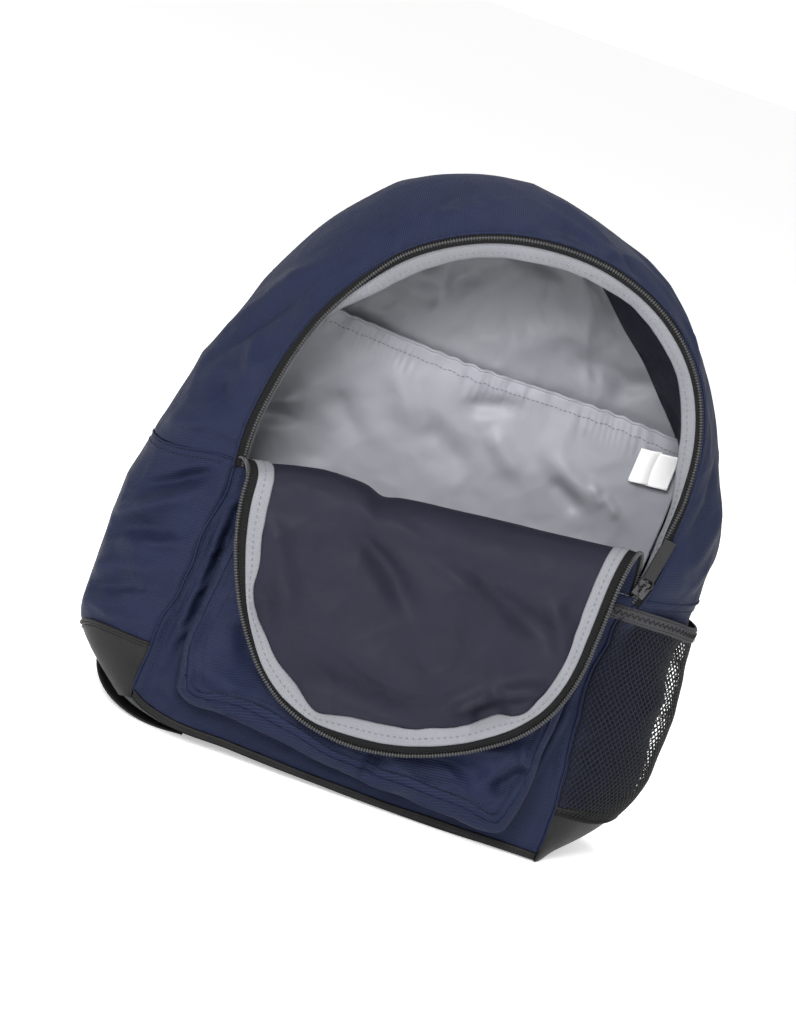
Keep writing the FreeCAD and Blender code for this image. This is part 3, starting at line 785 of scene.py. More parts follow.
def base_side(side, word):
    w = np.linspace(0, 1, 64)
    low = side_grid(side, foot(side, w), hem(side, w) + 1 * MM, 18)
    low = pushed(low, np.full(low.shape[:2], 0.9 * MM) + 1.2 * MM * cloud(low, 0.03, 11), side)
    low[..., 2] = np.maximum(low[..., 2], LOWEST)
    piece = cloth(word + "_base_leather", low, "leather", "base_leather", flip=side < 0)
    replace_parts(piece, "base_panel")
    sweep(word + "_base_leather_fold", low[-1], (side, 0, 0.2), oval(2.6, 2.2), "leather")
    out = np.tile((side * 1.0, 0, 0), (len(w), 1))
    row = (low[-2] + low[-3]) / 2 + out * 0.6 * MM
    stitches(word + "_base_stitches", row, out, "black_thread", size=(2.6, 0.9, 0.6))


def base_underside():
    w = np.linspace(0, 1, 64)
    c = np.linspace(0, 1, 110)[None, :]
    share = w[:, None]
    left, right = side_x(-1, foot(-1, w), w), side_x(1, foot(1, w), w)
    x = left[:, None] + (right - left)[:, None] * c
    y = back_at(share)
    near_front, near_left, near_right = ease(0.35, 0, share), ease(0.28, 0, c), ease(0.72, 1, c)
    front = front_foot(x[:1])
    z = 0.5 * MM + (front * near_front + foot(-1, share) * near_left + foot(1, share) * near_right
                    - front[:, :1] * near_front * near_left - front[:, -1:] * near_front * near_right)
    z = np.maximum(z + 0.6 * MM * cloud(xyz(x, y, 0), 0.05, 12), LOWEST)
    cloth("base_underside", xyz(x, y, z), "leather", "base_leather", flip=True, thick=0)


def base_front():
    x = np.linspace(side_x(-1, foot(-1, 0), 0), side_x(1, foot(1, 0), 0), 140)
    low = front_foot(x) + 0.6 * MM
    top = 5.5 * MM + 1.2 * MM * cloud(xyz(x, 0, 0), 0.05, 13)
    rows = [xyz(x, FRONT_Y + 1 * MM, low)]
    rows += [xyz(x, FRONT_Y - 1.8 * MM, low + top * t) for t in (0.12, 0.4, 0.7, 1)]
    rows.append(xyz(x, FRONT_Y - 0.4 * MM, low + top + 0.8 * MM))
    cloth("base_front_lip", np.array(rows), "leather", "base_leather")
    stitches("base_front_stitches", rows[3] + (0, -0.6 * MM, 0), FORWARD, "black_thread")


def under_web():
    """The left side's webbing as it passes under the lower corner."""
    path = smooth_path(UNDER_WEB, 60)
    lean = ease(0.2, 0.6, np.linspace(0, 1, len(path)))
    sweep("left_under_web", path, xyz(0.35 * lean, 0.2 * lean, 1), flat_band(24, 1.8), "webbing")


def base_back():
    t = np.linspace(0, 1, 60)
    rows = []
    for k in np.linspace(0, 1, 8):
        z = LOWEST + (along(BACK_HEM, t) * MM - LOWEST) * k
        a, b = side_x(-1, z, 1), side_x(1, z, 1)
        rows.append(xyz(a + (b - a) * t, BACK_Y + 0.8 * MM, z))
    cloth("base_back_leather", np.array(rows), "leather", "base_leather", flip=True)
    stitches("base_back_stitches", rows[-2] + (0, 0.8 * MM, 0), BACKWARD, "black_thread")


# ------------------------------------------------------------------ front panel and pocket
def make_front():
    rows, cols = 90, 120
    t = np.linspace(0, 1, rows)[:, None]
    c = np.linspace(0, 1, cols)[None, :]
    low = front_foot((-160 + 312 * c) * MM) + 5 * MM
    z = low + (SEAM_Z - low) * t
    left, right = side_x(-1, z, 0), side_x(1, z, 0)
    x = left + (right - left) * c
    grid = xyz(x, FRONT_Y, z)
    slack = (1.6 * cloud(grid, (0.05, 0.05, 0.07), 21) + 3.2 * rumple(grid, (0.04, 0.05, 0.08), 22)) * MM
    slack += creased(grid, FRONT_CREASES, -65 * MM)
    fade = edge_fade(grid, 5)
    fade[-7:] = fade[-8]
    grid = pushed(grid, slack * fade)
    piece = cloth("front_panel_cloth", grid, "shell coated", "shell_fabric")
    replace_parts(piece, "front_panel")
    for side, word in SIDES:
        z = np.linspace(9 * MM + foot(side, 0), SEAM_Z, 90)
        x = side_x(side, z, 0)
        path = xyz(x, FRONT_Y - 0.3 * MM, z)
        seam_ridge(word + "_front_seam", path, (side * 0.7, -0.7, 0))
        inset = path + np.array((-side * 6 * MM, -2.2 * MM, 0))
        stitches(word + "_front_topstitch", inset, FORWARD, "navy_thread")


POCKET = [(-135, 56), (-133, 43), (-125, 37), (-100, 35), (-74, 32), (-34, 27), (8, 23), (45, 19.5),
          (79, 16.5), (107, 16), (119, 20), (122, 30), (125, 48), (125, 83), (127, 110), (126, 140),
          (124, 176), (114, 185), (60, 186), (0, 186), (-70, 186), (-113, 186), (-125, 178), (-131, 150),
          (-134, 110), (-136, 80)]
# direction from the pocket's middle, how far its face stays inside the sewn line
POCKET_INSET = [(0, 2), (90, 0), (150, 0), (172, -4), (188, -6), (200, -3), (209, 6), (220, 14), (240, 14),
                (262, 9), (272, 7), (285, 11), (305, 16), (318, 15), (328, 7), (340, 2), (360, 2)]
GUSSET_ROWS = 12
GUSSET_DEEP = 34 * MM
POCKET_FRONT_Y = -108.5 * MM


def pocket_outline(count=300):
    """Closed outline of the front pocket where it is sewn on, in x and z; its lower edge sags to one side."""
    points = np.array(POCKET * 3, float)
    run = run_along(points)
    n = len(POCKET)
    at = np.linspace(run[n], run[2 * n], count, endpoint=False)
    return np.stack([along(np.stack([run, points[:, k]], 1), at) for k in (0, 1)], 1) * MM


def pocket_relief(p):
    """How far the slack pocket face stands forward of its flat place, from points with y = 0."""
    f = (2.4 * cloud(p, (0.07, 1, 0.06), 31) + 4.0 * rumple(p, (0.07, 1, 0.035), 32) - 1.0
         + 1.2 * rumple(p, (0.03, 1, 0.025), 34) + 0.4 * cloud(p, 0.015, 33)) * MM
    f += creased(p, POCKET_CREASES, 0)
    return f


def rounded(ring, passes):
    """A closed row of values with its corners smoothed."""
    for _ in range(passes):
        ring = (np.roll(ring, 1, 0) + 2 * ring + np.roll(ring, -1, 0)) / 4
    return ring


def make_pocket():
    outline = pocket_outline()
    centre = np.array((-5, 108)) * MM
    tangent = np.roll(outline, -1, 0) - np.roll(outline, 1, 0)
    out2 = rounded(unit(np.stack([tangent[:, 1], -tangent[:, 0]], 1)), 30)
    way = np.degrees(np.arctan2(outline[:, 1] - centre[1], outline[:, 0] - centre[0])) % 360
    tuck = rounded(along(POCKET_INSET, way)[:, None] * MM, 30)
    face_edge = rounded(outline - out2 * (7 * MM + tuck), 40)
    rings, uvs = [], []
    for s in np.linspace(0, 1, GUSSET_ROWS):              # the gusset, with a rounded front edge
        a = max(0.0, (s - 0.7) / 0.3) * math.pi / 2
        inset = (4 * (1 - math.cos(a)) + 3 * s) / 7
        forward = 27 * MM * min(s / 0.7, 1) + 4 * MM * math.sin(a)
        sag = 3 * MM * math.sin(math.pi * s) * ease(0.178, 0.15, outline[:, 1:])
        flat = outline + (face_edge - outline) * inset + out2 * sag
        rings.append(xyz(flat[:, 0], FRONT_Y - forward, flat[:, 1]))
        uvs.append(outline + out2 * (GUSSET_DEEP * 1.2 * (1 - s)))
    edge = rings[-1][:, [0, 2]]
    for t in np.linspace(0, 1, 44)[1:]:
        flat = edge + (centre - edge) * t * 0.995
        rings.append(xyz(flat[:, 0], rings[GUSSET_ROWS - 1][0, 1], flat[:, 1]))
        uvs.append(flat)
    grid = np.array(rings)
    row = np.arange(len(rings))[:, None]
    grid[..., 1] -= (pocket_relief(grid * (1, 0, 1)) + 1.5 * MM * ease(11, 24, row)) * ease(1, 11, row)
    lumps = 2.2 * MM * cloud(grid[GUSSET_ROWS - 1], 0.035, 35) * ease(0.178, 0.15, outline[:, 1])
    grid[:, :, [0, 2]] += out2[None] * (lumps[None, :] * ease(0, 9, row) * ease(26, 12, row))[..., None]
    grid[..., 1] = np.clip(grid[..., 1], POCKET_FRONT_Y, FRONT_Y)
    face = cloth("pocket_cloth", grid, "shell coated", "shell_fabric", wrap=True, uv=uvs)
    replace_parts(face, "pocket_face", "pocket_gusset")
    sweep("pocket_front_seam", grid[10] + (0, -0.4 * MM, 0), xyz(out2[:, 0], -1, out2[:, 1]),
          oval(1.8, 1.2, 6), "shell", closed=True)
    for k, row in enumerate((12, 14)):
        path = np.concatenate([grid[row], grid[row][:1]])
        stitches(f"pocket_stitches_{k + 1}", path + (0, -0.4 * MM, 0), FORWARD, "navy_thread")
    sweep("pocket_foot_seam", grid[0] + (0, -0.6 * MM, 0), FORWARD, oval(2.0, 1.6, 6), "shell",
          closed=True)
    path = grid[0] + xyz(2 * out2[:, 0], -1, 2 * out2[:, 1]) * MM
    stitches("pocket_foot_stitches", np.concatenate([path, path[:1]]), FORWARD, "navy_thread")


def make_pocket_zip():
    (left, front, _), (right, back, top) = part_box("pocket_zip_tape")
    x = np.linspace(left, right, 160)
    edges = [xyz(x, y, top + 0.5 * MM) for y in (front, back)]
    tape = strip("pocket_tape", edges[0], edges[1], "tape", "zip_tape", thick=0.6)
    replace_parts(tape, "pocket_zip_tape")
    core = (edges[0] + edges[1]) / 2 + (0, 0, 0.9 * MM)
    coil = sweep("pocket_coil_core", core, UP, oval(2.0, 1.3, 6), "coil")
    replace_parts(coil, "pocket_zip_coil")
    zip_teeth("pocket_coil_teeth", core, UP, 1.5, (5.0, 0.8, 1.7))
    for k, y in enumerate((front + 2 * MM, back - 2 * MM)):
        row = xyz(x, y, top + 0.7 * MM)
        stitches(f"pocket_tape_stitches_{k + 1}", row, UP, "black_thread", **FINE)


# ------------------------------------------------------------------ flap
ROLL = 75 * MM                # length of cloth that turns over the fold
HALF_ROLL = 23 * MM
HANG_MIDDLE = 203 * MM


def flap_relief(flat):
    """How far the hanging flap stands out from its flat place; flat has y = 0."""
    f = (2.2 * cloud(flat, (0.09, 1, 0.07), 41) + 2.6 * rumple(flat, (0.12, 1, 0.06), 42)
         + 0.8 * rumple(flat, (0.04, 1, 0.03), 44) + 0.4 * cloud(flat, 0.02, 43)) * MM
    x, z = flat[..., 0] / MM, flat[..., 2] / MM
    f += 5 * MM * np.exp(-((x - 10) / 95) ** 2 - ((z - 130) / 60) ** 2)
    f += creased(flat, FLAP_CREASES, 0)
    return f


def fold_point(x, s, lift=0.0):
    """The folded flap as one sheet: x across, s up it from the start of the fold, lift off its seen side."""
    x, s = np.broadcast_arrays(np.asarray(x, float), np.asarray(s, float))
    flat = xyz(x, 0, SEAM_Z + s)
    hang = ease(0, -25 * MM, s)
    over = lift + flap_relief(flat) * np.maximum(hang, 0.25)
    a = np.clip(s / ROLL, 0, 1) * np.pi
    rise = along(CREST, x / MM) * MM - SEAM_Z
    y = FOLD.y - (HALF_ROLL + over) * np.cos(a)
    z = SEAM_Z + np.minimum(s, 0) + (rise + over) * np.sin(a)
    return xyz(x, y, z)


def flap_edge(count=520):
    """The flap's zip edge on its flat sheet, from the left round the bottom to the right, as (x, s)."""
    angle = np.linspace(-182, 2.2, 260)
    r = along(FLAP_EDGE_R, angle) * MM
    x = ARCH.x + r * np.cos(np.radians(angle))
    s = HANG_MIDDLE + r * np.sin(np.radians(angle)) - SEAM_Z
    up = np.linspace(0, 1, 50)
    left = np.stack([x[0] + (-146 * MM - x[0]) * ease(0, 1, up[::-1]), ROLL * up[::-1] + s[0]], 1)
    right = np.stack([x[-1] + (150 * MM - x[-1]) * ease(0, 1, up), ROLL * up + s[-1]], 1)
    path = relaxed(np.concatenate([left[:-1], np.stack([x, s], 1), right[1:]]), 12)
    run = run_along(path)
    at = np.linspace(0, run[-1], count)
    return np.stack([np.interp(at, run, path[:, k]) for k in (0, 1)], 1)


def inward(path, by):
    step = unit(np.gradient(path, axis=0))
    by = np.broadcast_to(by, len(path))[:, None]
    return path + np.stack([-step[:, 1], step[:, 0]], 1) * by


def flap_line(edge, by, lift):
    line = inward(edge, by)
    return fold_point(line[:, 0], line[:, 1], lift)


def folding(piece):
    """Bakes the piece's transform into its mesh, so that it rides on no body."""
    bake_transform(piece)
    return piece


def make_flap():
    edge = flap_edge()
    inner = inward(edge, 4 * MM)
    low = int(np.argmin(inner[:, 1]))
    t = np.linspace(0, 1, 150)
    bottom = inner[low, 1]
    s = bottom + (ROLL + 2 * MM - bottom) * (1 - np.cos(t * np.pi / 2)) ** 0.9
    left_side, right_side = inner[:low + 1][::-1], inner[low:]
    xl = np.interp(s, left_side[:, 1], left_side[:, 0])
    xr = np.interp(s, right_side[:, 1], right_side[:, 0])
    x = xl[:, None] + (xr - xl)[:, None] * np.linspace(0, 1, 130)[None, :]
    grid = fold_point(x, np.broadcast_to(s[:, None], x.shape))
    piece = cloth("flap_cloth", grid, "coated shell", "shell_fabric", body=None)
    folding(piece)
    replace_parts(piece, "flap_panel")

    place = xyz(edge[:, 0], 0, edge[:, 1])
    way = np.degrees(np.arctan2(SEAM_Z + edge[:, 1] - HANG_MIDDLE, edge[:, 0] - ARCH.x))
    way = np.where(way > 90, way - 360, way)
    start, wide = (along([(row[0], row[k]) for row in FLAP_BINDING], way) * MM for k in (1, 2))
    wide = wide + (0.9 * cloud(place, 0.028, 45) + 0.4 * cloud(place, 0.010, 46)) * MM
    near, far = (flap_line(edge, by, 0.9 * MM) for by in (2.4 * MM, start + 2.6 * MM))
    tape = strip("flap_tape", near, far, "tape", "zip_tape", body=None, thick=0.7)
    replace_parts(folding(tape), "flap_zip_tape")
    lines = [flap_line(edge, start, 1.6 * MM)]
    lines += [flap_line(edge, start + wide * k, (1.9 - 0.3 * k) * MM) for k in (0.12, 0.4, 0.7, 0.92)]
    lines.append(flap_line(edge, start + wide, 0.7 * MM))
    binding = cloth("flap_binding", np.array(lines), "binding", "binding", body=None, thick=0.7)
    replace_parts(folding(binding), "flap_seam_binding")
    under = flap_line(edge, start + 0.45 * wide, 0)
    way = flap_line(edge, start + 0.45 * wide, 1.95 * MM)
    folding(stitches("flap_binding_stitches", way, unit(way - under), "grey_thread", body=None, pitch=4.4,
                     size=(2.2, 0.8, 0.6)))
    for k, by in enumerate((4.2, 6.6)):
        way = flap_line(edge, by * MM, 1.2 * MM)
        folding(stitches(f"flap_tape_stitches_{k + 1}", way, unit(way - flap_line(edge, by * MM, 0)),
                         "black_thread", body=None, **FINE))
    core = flap_line(edge, 1.6 * MM, 1.4 * MM)
    high = unit(core - flap_line(edge, 1.6 * MM, 0))
    coil = sweep("flap_coil_core", core, high, oval(2.2, 1.5, 6), "coil", None)
    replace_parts(folding(coil), "flap_zip_coil")
    folding(zip_teeth("flap_coil_teeth", core, high, body=None))


# ------------------------------------------------------------------ mouth of the bag
def make_mouth():
    angle = np.linspace(-21.5, 200.5, 420)
    gone = ease(134, 156, angle)
    coil_out = (1.8 + 3.2 * ease(150, 126, angle) * ease(-10, 10, angle)) * MM
    ring = mouth(angle, 0, 0)
    wobble = (1.3 * cloud(ring, 0.032, 51) + 0.5 * cloud(ring, 0.011, 52)) * MM
    tape = strip("mouth_tape", mouth(angle, 8.2 * MM, 0.6 * MM), mouth(angle, 1.0 * MM, 0.8 * MM),
                 "tape", "zip_tape", thick=0.7)
    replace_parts(tape, "body_zip_tape")
    wide = (12 - 9.5 * gone - 2.5 * ease(90, 50, angle) - 7 * ease(24, 0, angle)) * MM
    wide = wide + wobble * (1 - 0.7 * gone)
    lines = [mouth(angle, 6 * MM, -1.6 * MM), mouth(angle, 1.2 * MM, -1.4 * MM)]
    for k in (0.15, 0.45, 0.75, 0.95, 1.0):
        lines.append(mouth(angle, 1.2 * MM - wide * k, -(1.6 + 6 * k ** 1.4 + (k == 1.0) * 0.6) * MM))
    binding = cloth("mouth_binding", np.array(lines), "binding", "binding", thick=0.7)
    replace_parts(binding, "body_seam_binding")
    seen = angle < 146
    way = mouth(angle, 1.2 * MM - wide * 0.62, -2.6 * MM)[seen]
    stitches("mouth_binding_stitches", way + (0, -0.2 * MM, 0), FORWARD, "grey_thread", pitch=4.4,
             size=(2.0, 0.7, 0.5))
    for k, by in enumerate((3.0, 7.4)):
        stitches(f"mouth_tape_stitches_{k + 1}", mouth(angle, by * MM, 1.1 * MM), FORWARD, "black_thread",
                 **FINE)
    core = mouth(angle, coil_out, 1.4 * MM)
    coil = sweep("mouth_coil_core", core, FORWARD, oval(2.2, 1.5, 6), "coil")
    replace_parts(coil, "body_zip_coil")
    zip_teeth("mouth_coil_teeth", core, FORWARD)
    seam_ridge("mouth_seam", mouth(angle, 8.4 * MM, 0.6 * MM), FORWARD, high=1.8)


# ------------------------------------------------------------------ inside
LINING_Y = 53 * MM
SLEEVE_Y = 43 * MM
SLEEVE_FRONT_Y = 30 * MM
# share of the way across, height of the sleeve's hem
SLEEVE_HEM = [(0, 317), (0.15, 315), (0.35, 311), (0.5, 309), (0.7, 310), (0.9, 309), (1, 306)]
# angle, radius at the back of the part of the gusset that has fallen in, at the top right
FALLEN_R = [(-14, 165), (0, 164), (16, 158), (27, 147), (40, 141), (52, 139), (65, 146), (78, 156),
            (104, 166)]


def room_row(z, clear):
    """Left and right ends of the inside at a height."""
    reach = BACK_R - clear
    half = np.sqrt(np.maximum(reach ** 2 - np.maximum(z - ARCH.z, 0) ** 2, 0))
    half = np.where(z < ARCH.z, reach - 8 * MM * ease(ARCH.z, 0.1, z), half)
    return ARCH.x - half, ARCH.x + half


def make_lining():
    b = np.linspace(-1, 1, 110)[:, None]
    z = np.where(b < 0, ARCH.z + b * (ARCH.z - 8 * MM), ARCH.z + (BACK_R - 4 * MM) * np.sin(b * np.pi / 2))
    left, right = room_row(z, 3 * MM)
    x = left + (right - left) * np.linspace(0, 1, 120)[None, :]
    grid = xyz(x, LINING_Y, z)
    slack = (1.4 * cloud(grid, (0.08, 1, 0.06), 61) + 2.8 * rumple(grid, (0.06, 1, 0.10), 62)
             + 0.9 * rumple(grid, 0.035, 64) + 0.3 * cloud(grid, 0.016, 63)) * MM
    slack += creased(grid, LINING_CREASES, LINING_Y)
    grid[..., 1] -= slack + 1.0 * MM
    piece = cloth("back_lining_cloth", grid, "lining", "lining", thick=0.8)
    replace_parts(piece, "back_lining", "back_foam", "base_board")


def make_sleeve():
    rows, cols = 130, 220
    t = np.linspace(0, 1, rows)[:, None]
    c = np.linspace(0, 1, cols)[None, :]
    hem_z = along(SLEEVE_HEM, c) * MM
    hem_z = hem_z + 0.7 * MM * np.sin(c * 150) * (0.5 + 0.5 * np.sin(c * 17))
    z = 8 * MM + (hem_z - 8 * MM) * t
    left, right = room_row(z, 5 * MM)
    x = left + (right - left) * c
    grid = xyz(x, SLEEVE_Y, z)
    top = ease(0.6, 1, t)
    gather = 0.8 * MM * np.sin(c * 96 + 3 * np.sin(c * 11)) * ease(0.9, 1, t)
    fine = 0.4 * MM * np.sin(c * 270 + 9 * np.sin(c * 23))
    gather = gather + fine * ease(0.90, 0.95, t) * ease(1, 0.985, t)
    slack = (2.6 * cloud(grid, (0.09, 1, 0.07), 65) + 2.6 * rumple(grid, (0.17, 1, 0.10), 66)
             + 0.6 * rumple(grid, (0.07, 1, 0.05), 68) + 0.4 * cloud(grid, 0.016, 67)) * MM
    slack += creased(grid, SLEEVE_CREASES, SLEEVE_Y)
    fade = ease(0, 0.1, c) * ease(1, 0.9, c)
    grid[..., 1] -= (slack + 2.5 * MM * top) * (0.2 + 0.8 * fade) + gather
    grid[..., 1] = np.maximum(grid[..., 1], SLEEVE_FRONT_Y)
    # The sleeve's seen side takes the lining painted lighter, as painted light; its inside keeps the plain
    # lining colour.
    piece = cloth("sleeve_cloth", grid, "sleeve", "lining", thick=0.8)
    edge = grid[-1] + (0, 0.4 * MM, 0)
    roll = sweep("sleeve_hem_fold", edge, (0, -1, 0.3), oval(2.4, 2.0), "sleeve")
    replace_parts(piece, "sleeve_panel", "sleeve_hem")
    stitches("sleeve_hem_stitches", grid[-5] + (0, -0.4 * MM, 0), FORWARD, "grey_thread", "lining",
             pitch=3.6, size=(2.4, 0.6, 0.5))


def make_inner_gusset():
    angle = np.linspace(-14, 104, 150)[:, None]
    w = np.linspace(0, 1, 60)[None, :]
    front = ZIP_R + drift(angle) + RIM
    back = along(FALLEN_R, angle) * MM
    radius = front + (back - front) * ease(0, 1, w) ** 0.8 + 4 * MM * np.sin(np.pi * w)
    y = (FRONT_Y + 6 * MM) + (51 * MM - FRONT_Y - 6 * MM) * w
    fallen = ring_point(angle, radius, y + 0 * angle)
    fallen = pushed(fallen, (3.5 * rumple(fallen, (0.05, 0.09, 0.05), 91) - 1.5) * MM * edge_fade(fallen, 6))
    cloth("inner_gusset_cloth", fallen, "coated", "shell_fabric", flip=True, thick=0.8)


def make_label():
    u, v = np.meshgrid(np.linspace(0, 1, 24), np.linspace(0, 1, 20))
    for name, x0, wide, out in (("care_label_cloth", 132, 30, 35.5), ("care_label_leaf", 132.5, 15, 33.6)):
        x = (x0 + wide * u + 1.2 * v) * MM
        z = (268 + 26 * v + 2.2 * u) * MM
        y = (out - 2.4 * np.sin(np.pi * u) + 1.6 * u * np.sin(np.pi * v)) * MM
        label = cloth(name, xyz(x, y, z), "label", "label", thick=0.5)
        if name == "care_label_cloth":
            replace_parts(label, "care_label")


# ------------------------------------------------------------------ mesh pocket
# share of the way back, height of the elastic's middle
ELASTIC_Z = [(0, 195), (0.2, 190), (0.4, 184), (0.7, 182), (1, 182)]
NET_FOOT = [(0, 40), (0.15, 36), (0.5, 36), (1, 42)]
NET_GAP = [(30, 1), (45, 4), (60, 7), (81, 8), (120, 11), (165, 8.5), (184, 5.5), (200, 4)]


def net_place(z, w):
    """A place on the mesh pocket, at a height and a share of the way back."""
    z, w = np.broadcast_arrays(np.asarray(z, float), np.asarray(w, float))
    gap = along(NET_GAP, z / MM) * MM * np.clip(np.sin(np.pi * w), 0, 1) ** 0.55
    y = back_at(w)
    p = xyz(0, y, z)
    fold = (3.0 * cloud(p, (1, 0.03, 0.09), 71) * ease(0.19, 0.06, z) + 0.6 * cloud(p, 0.015, 72)) * MM
    x = side_x(1, z, w) + gap + (fold + 1.2 * MM) * ease(0, 0.12, w) * ease(1, 0.88, w)
    return xyz(x, y, z)


def make_mesh_pocket():
    wide, tall = 80, 54
    i, j = np.meshgrid(np.arange(wide + 1), np.arange(tall + 1), indexing="ij")
    share = np.linspace(0.002, 0.998, 400)
    run = np.cumsum(np.linalg.norm(np.gradient(net_place(0.13, share), axis=0), axis=1))
    w = np.interp(i / wide * (run[-1] - run[0]) + run[0], run, share)
    foot = along(NET_FOOT, w) * MM
    z = foot + (along(ELASTIC_Z, w) * MM - 3 * MM - foot) * j / tall
    jitter = 0.0016 * cloud(xyz(i * 0.37, j * 0.41, 0), 1.0, 73)
    verts = net_place(z, np.clip(w + jitter, 0, 1))
    index = np.arange(verts.shape[0] * verts.shape[1]).reshape(verts.shape[:2])
    cells = [(index[a, b + 1], index[a + 1, b], index[a + 2, b + 1], index[a + 1, b + 2])
             for a in range(wide - 1) for b in range(tall - 1) if (a + b) % 2 == 0]
    used = sorted({v for f in cells for v in f})
    number = {v: k for k, v in enumerate(used)}
    net = made("pocket_net", verts.reshape(-1, 3)[used], [[number[v] for v in f] for f in cells], "net",
               "bag")
    threads = net.modifiers.new("threads", "WIREFRAME")
    threads.thickness = 1.25 * MM
    threads.use_even_offset = False
    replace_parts(net, "mesh_pocket")
    w = np.linspace(0, 1, 70)
    wrap = np.array([14.0, 10.5, 7.0, 3.5]) * MM
    out = np.tile((1.0, -0.1, 0), (len(wrap) + len(w), 1))
    out[:len(wrap)] = FORWARD
    rows = []
    for high, proud in ((-6, 0), (-5.5, 1.4), (-2, 2.0), (2, 2.0), (5.5, 1.6), (6, 0)):
        line = net_place((along(ELASTIC_Z, w) + high) * MM, w)
        front = line[:1] - xyz(wrap, 1.6 * MM * ease(0, 6 * MM, wrap), 0)
        rows.append(np.concatenate([front, line]) + out * proud * MM)
    band = cloth("pocket_elastic", np.array(rows), "elastic", "elastic", thick=0.8)
    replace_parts(band, "mesh_pocket_elastic")
    for k, (row, inwards) in enumerate(((1, 1.6), (4, -1.6))):
        line = rows[row] + out * 0.6 * MM + (0, 0, inwards * MM)
        stitches(f"pocket_elastic_stitches_{k + 1}", line, out, "black_thread", pitch=3.0,
                 size=(2.0, 0.8, 0.6))
    places, way, up = spaced(rows[2] * 0.5 + rows[3] * 0.5 + out * 0.5 * MM, 2.6 * MM, out)
    slant = np.where(np.arange(len(places)) % 2, 1.0, -1.0)[:, None] * np.array((0, 0, 1.0)) + way * 0.7
    stamped("pocket_elastic_zigzag", places, slant, up, (5.0, 0.9, 0.7), "black_thread")
    foot = net_place(along(NET_FOOT, w) * MM, w)
    sweep("pocket_net_binding", foot, (1, 0, 0), oval(3.0, 2.2), "tape")
    for end, word in ((0.004, "front"), (0.996, "back")):
        side = net_place(np.linspace(0.038, along(ELASTIC_Z, end) * MM, 50), end)
        sweep(f"pocket_net_{word}_seam", side, (1, 0, 0), oval(1.6, 1.2, 6), "tape")


# ------------------------------------------------------------------ back
def back_seam(z):
    """x of the seam round the back panel at a height, left and right."""
    half = np.sqrt(np.maximum(BACK_R ** 2 - np.maximum(z - ARCH.z, 0) ** 2, 0))
    left = np.where(z > SEAM_Z, ARCH.x - half, 0)
    right = np.where(z > SEAM_Z, ARCH.x + half, 0)
    low = np.minimum(z, SEAM_Z)
    return np.where(z > SEAM_Z, left, side_x(-1, low, 1)), np.where(z > SEAM_Z, right, side_x(1, low, 1))


PAD = {"middle": (6, 216), "half": (104, 152), "corner": 5, "high": 4.2}
PAD_TOP_Y = 69.6 * MM
CHANNELS_Z = (118, 178, 238, 298)
CHANNELS_X = (-36, 48)


def squarish(count, n):
    """A ring of (u, v) between -1 and 1 round a square; the greater n, the sharper its corners."""
    a = np.linspace(0, 2 * np.pi, count, endpoint=False)
    return [np.sign(f) * np.abs(f) ** (2 / n) for f in (np.cos(a), np.sin(a))]


def pad_reach(x, z):
    """0 at the middle of the back pad and 1 at its edge; x and z are in mm."""
    (cx, cz), (hx, hz) = PAD["middle"], PAD["half"]
    n = PAD["corner"]
    return (np.abs((x - cx) / hx) ** n + np.abs((z - cz) / hz) ** n) ** (1 / n)


def pad_height(x, z):
    """Height of the quilted back pad, in metres; x and z are in mm."""
    cx, hx = PAD["middle"][0], PAD["half"][0]
    body = ease(1.0, 0.90, pad_reach(x, z))
    groove = np.ones_like(x)
    for at in CHANNELS_Z:
        groove *= 1 - 0.8 * np.exp(-((z - at - 8 * ((x - cx) / hx) ** 2) / 5.5) ** 2)
    for at in CHANNELS_X:
        groove *= 1 - 0.8 * np.exp(-((x - at) / 5.5) ** 2)
    return PAD["high"] * MM * body * (0.25 + 0.75 * groove)


def quilting(name, x, z):
    row = xyz(x * MM, BACK_SEAM_Y + 3.0 * MM + pad_height(x, z), z * MM)
    stitches(name, row, BACKWARD, "black_thread")


def make_back_panel():
    b = np.linspace(-1, 1, 240)[:, None]
    z = np.where(b < 0, ARCH.z + b * (ARCH.z - 6 * MM), ARCH.z + (BACK_R - 0.5 * MM) * np.sin(b * np.pi / 2))
    left, right = back_seam(z)
    x = left + (right - left) * np.linspace(0, 1, 190)[None, :]
    grid = xyz(x, BACK_SEAM_Y, z)
    fade = edge_fade(grid, 12)
    slack = (0.8 * cloud(grid, 0.06, 81) + 0.9 * folds(grid, (0.07, 1, 0.03), 82)) * MM
    free = ease(0.94, 1.08, pad_reach(x / MM, z / MM + 0 * x))
    grid[..., 1] += (1.2 * MM + (1.2 * MM + slack) * free) * fade
    piece = cloth("back_panel_cloth", grid, "shell coated", "shell_fabric", flip=True)
    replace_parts(piece, "back_panel")


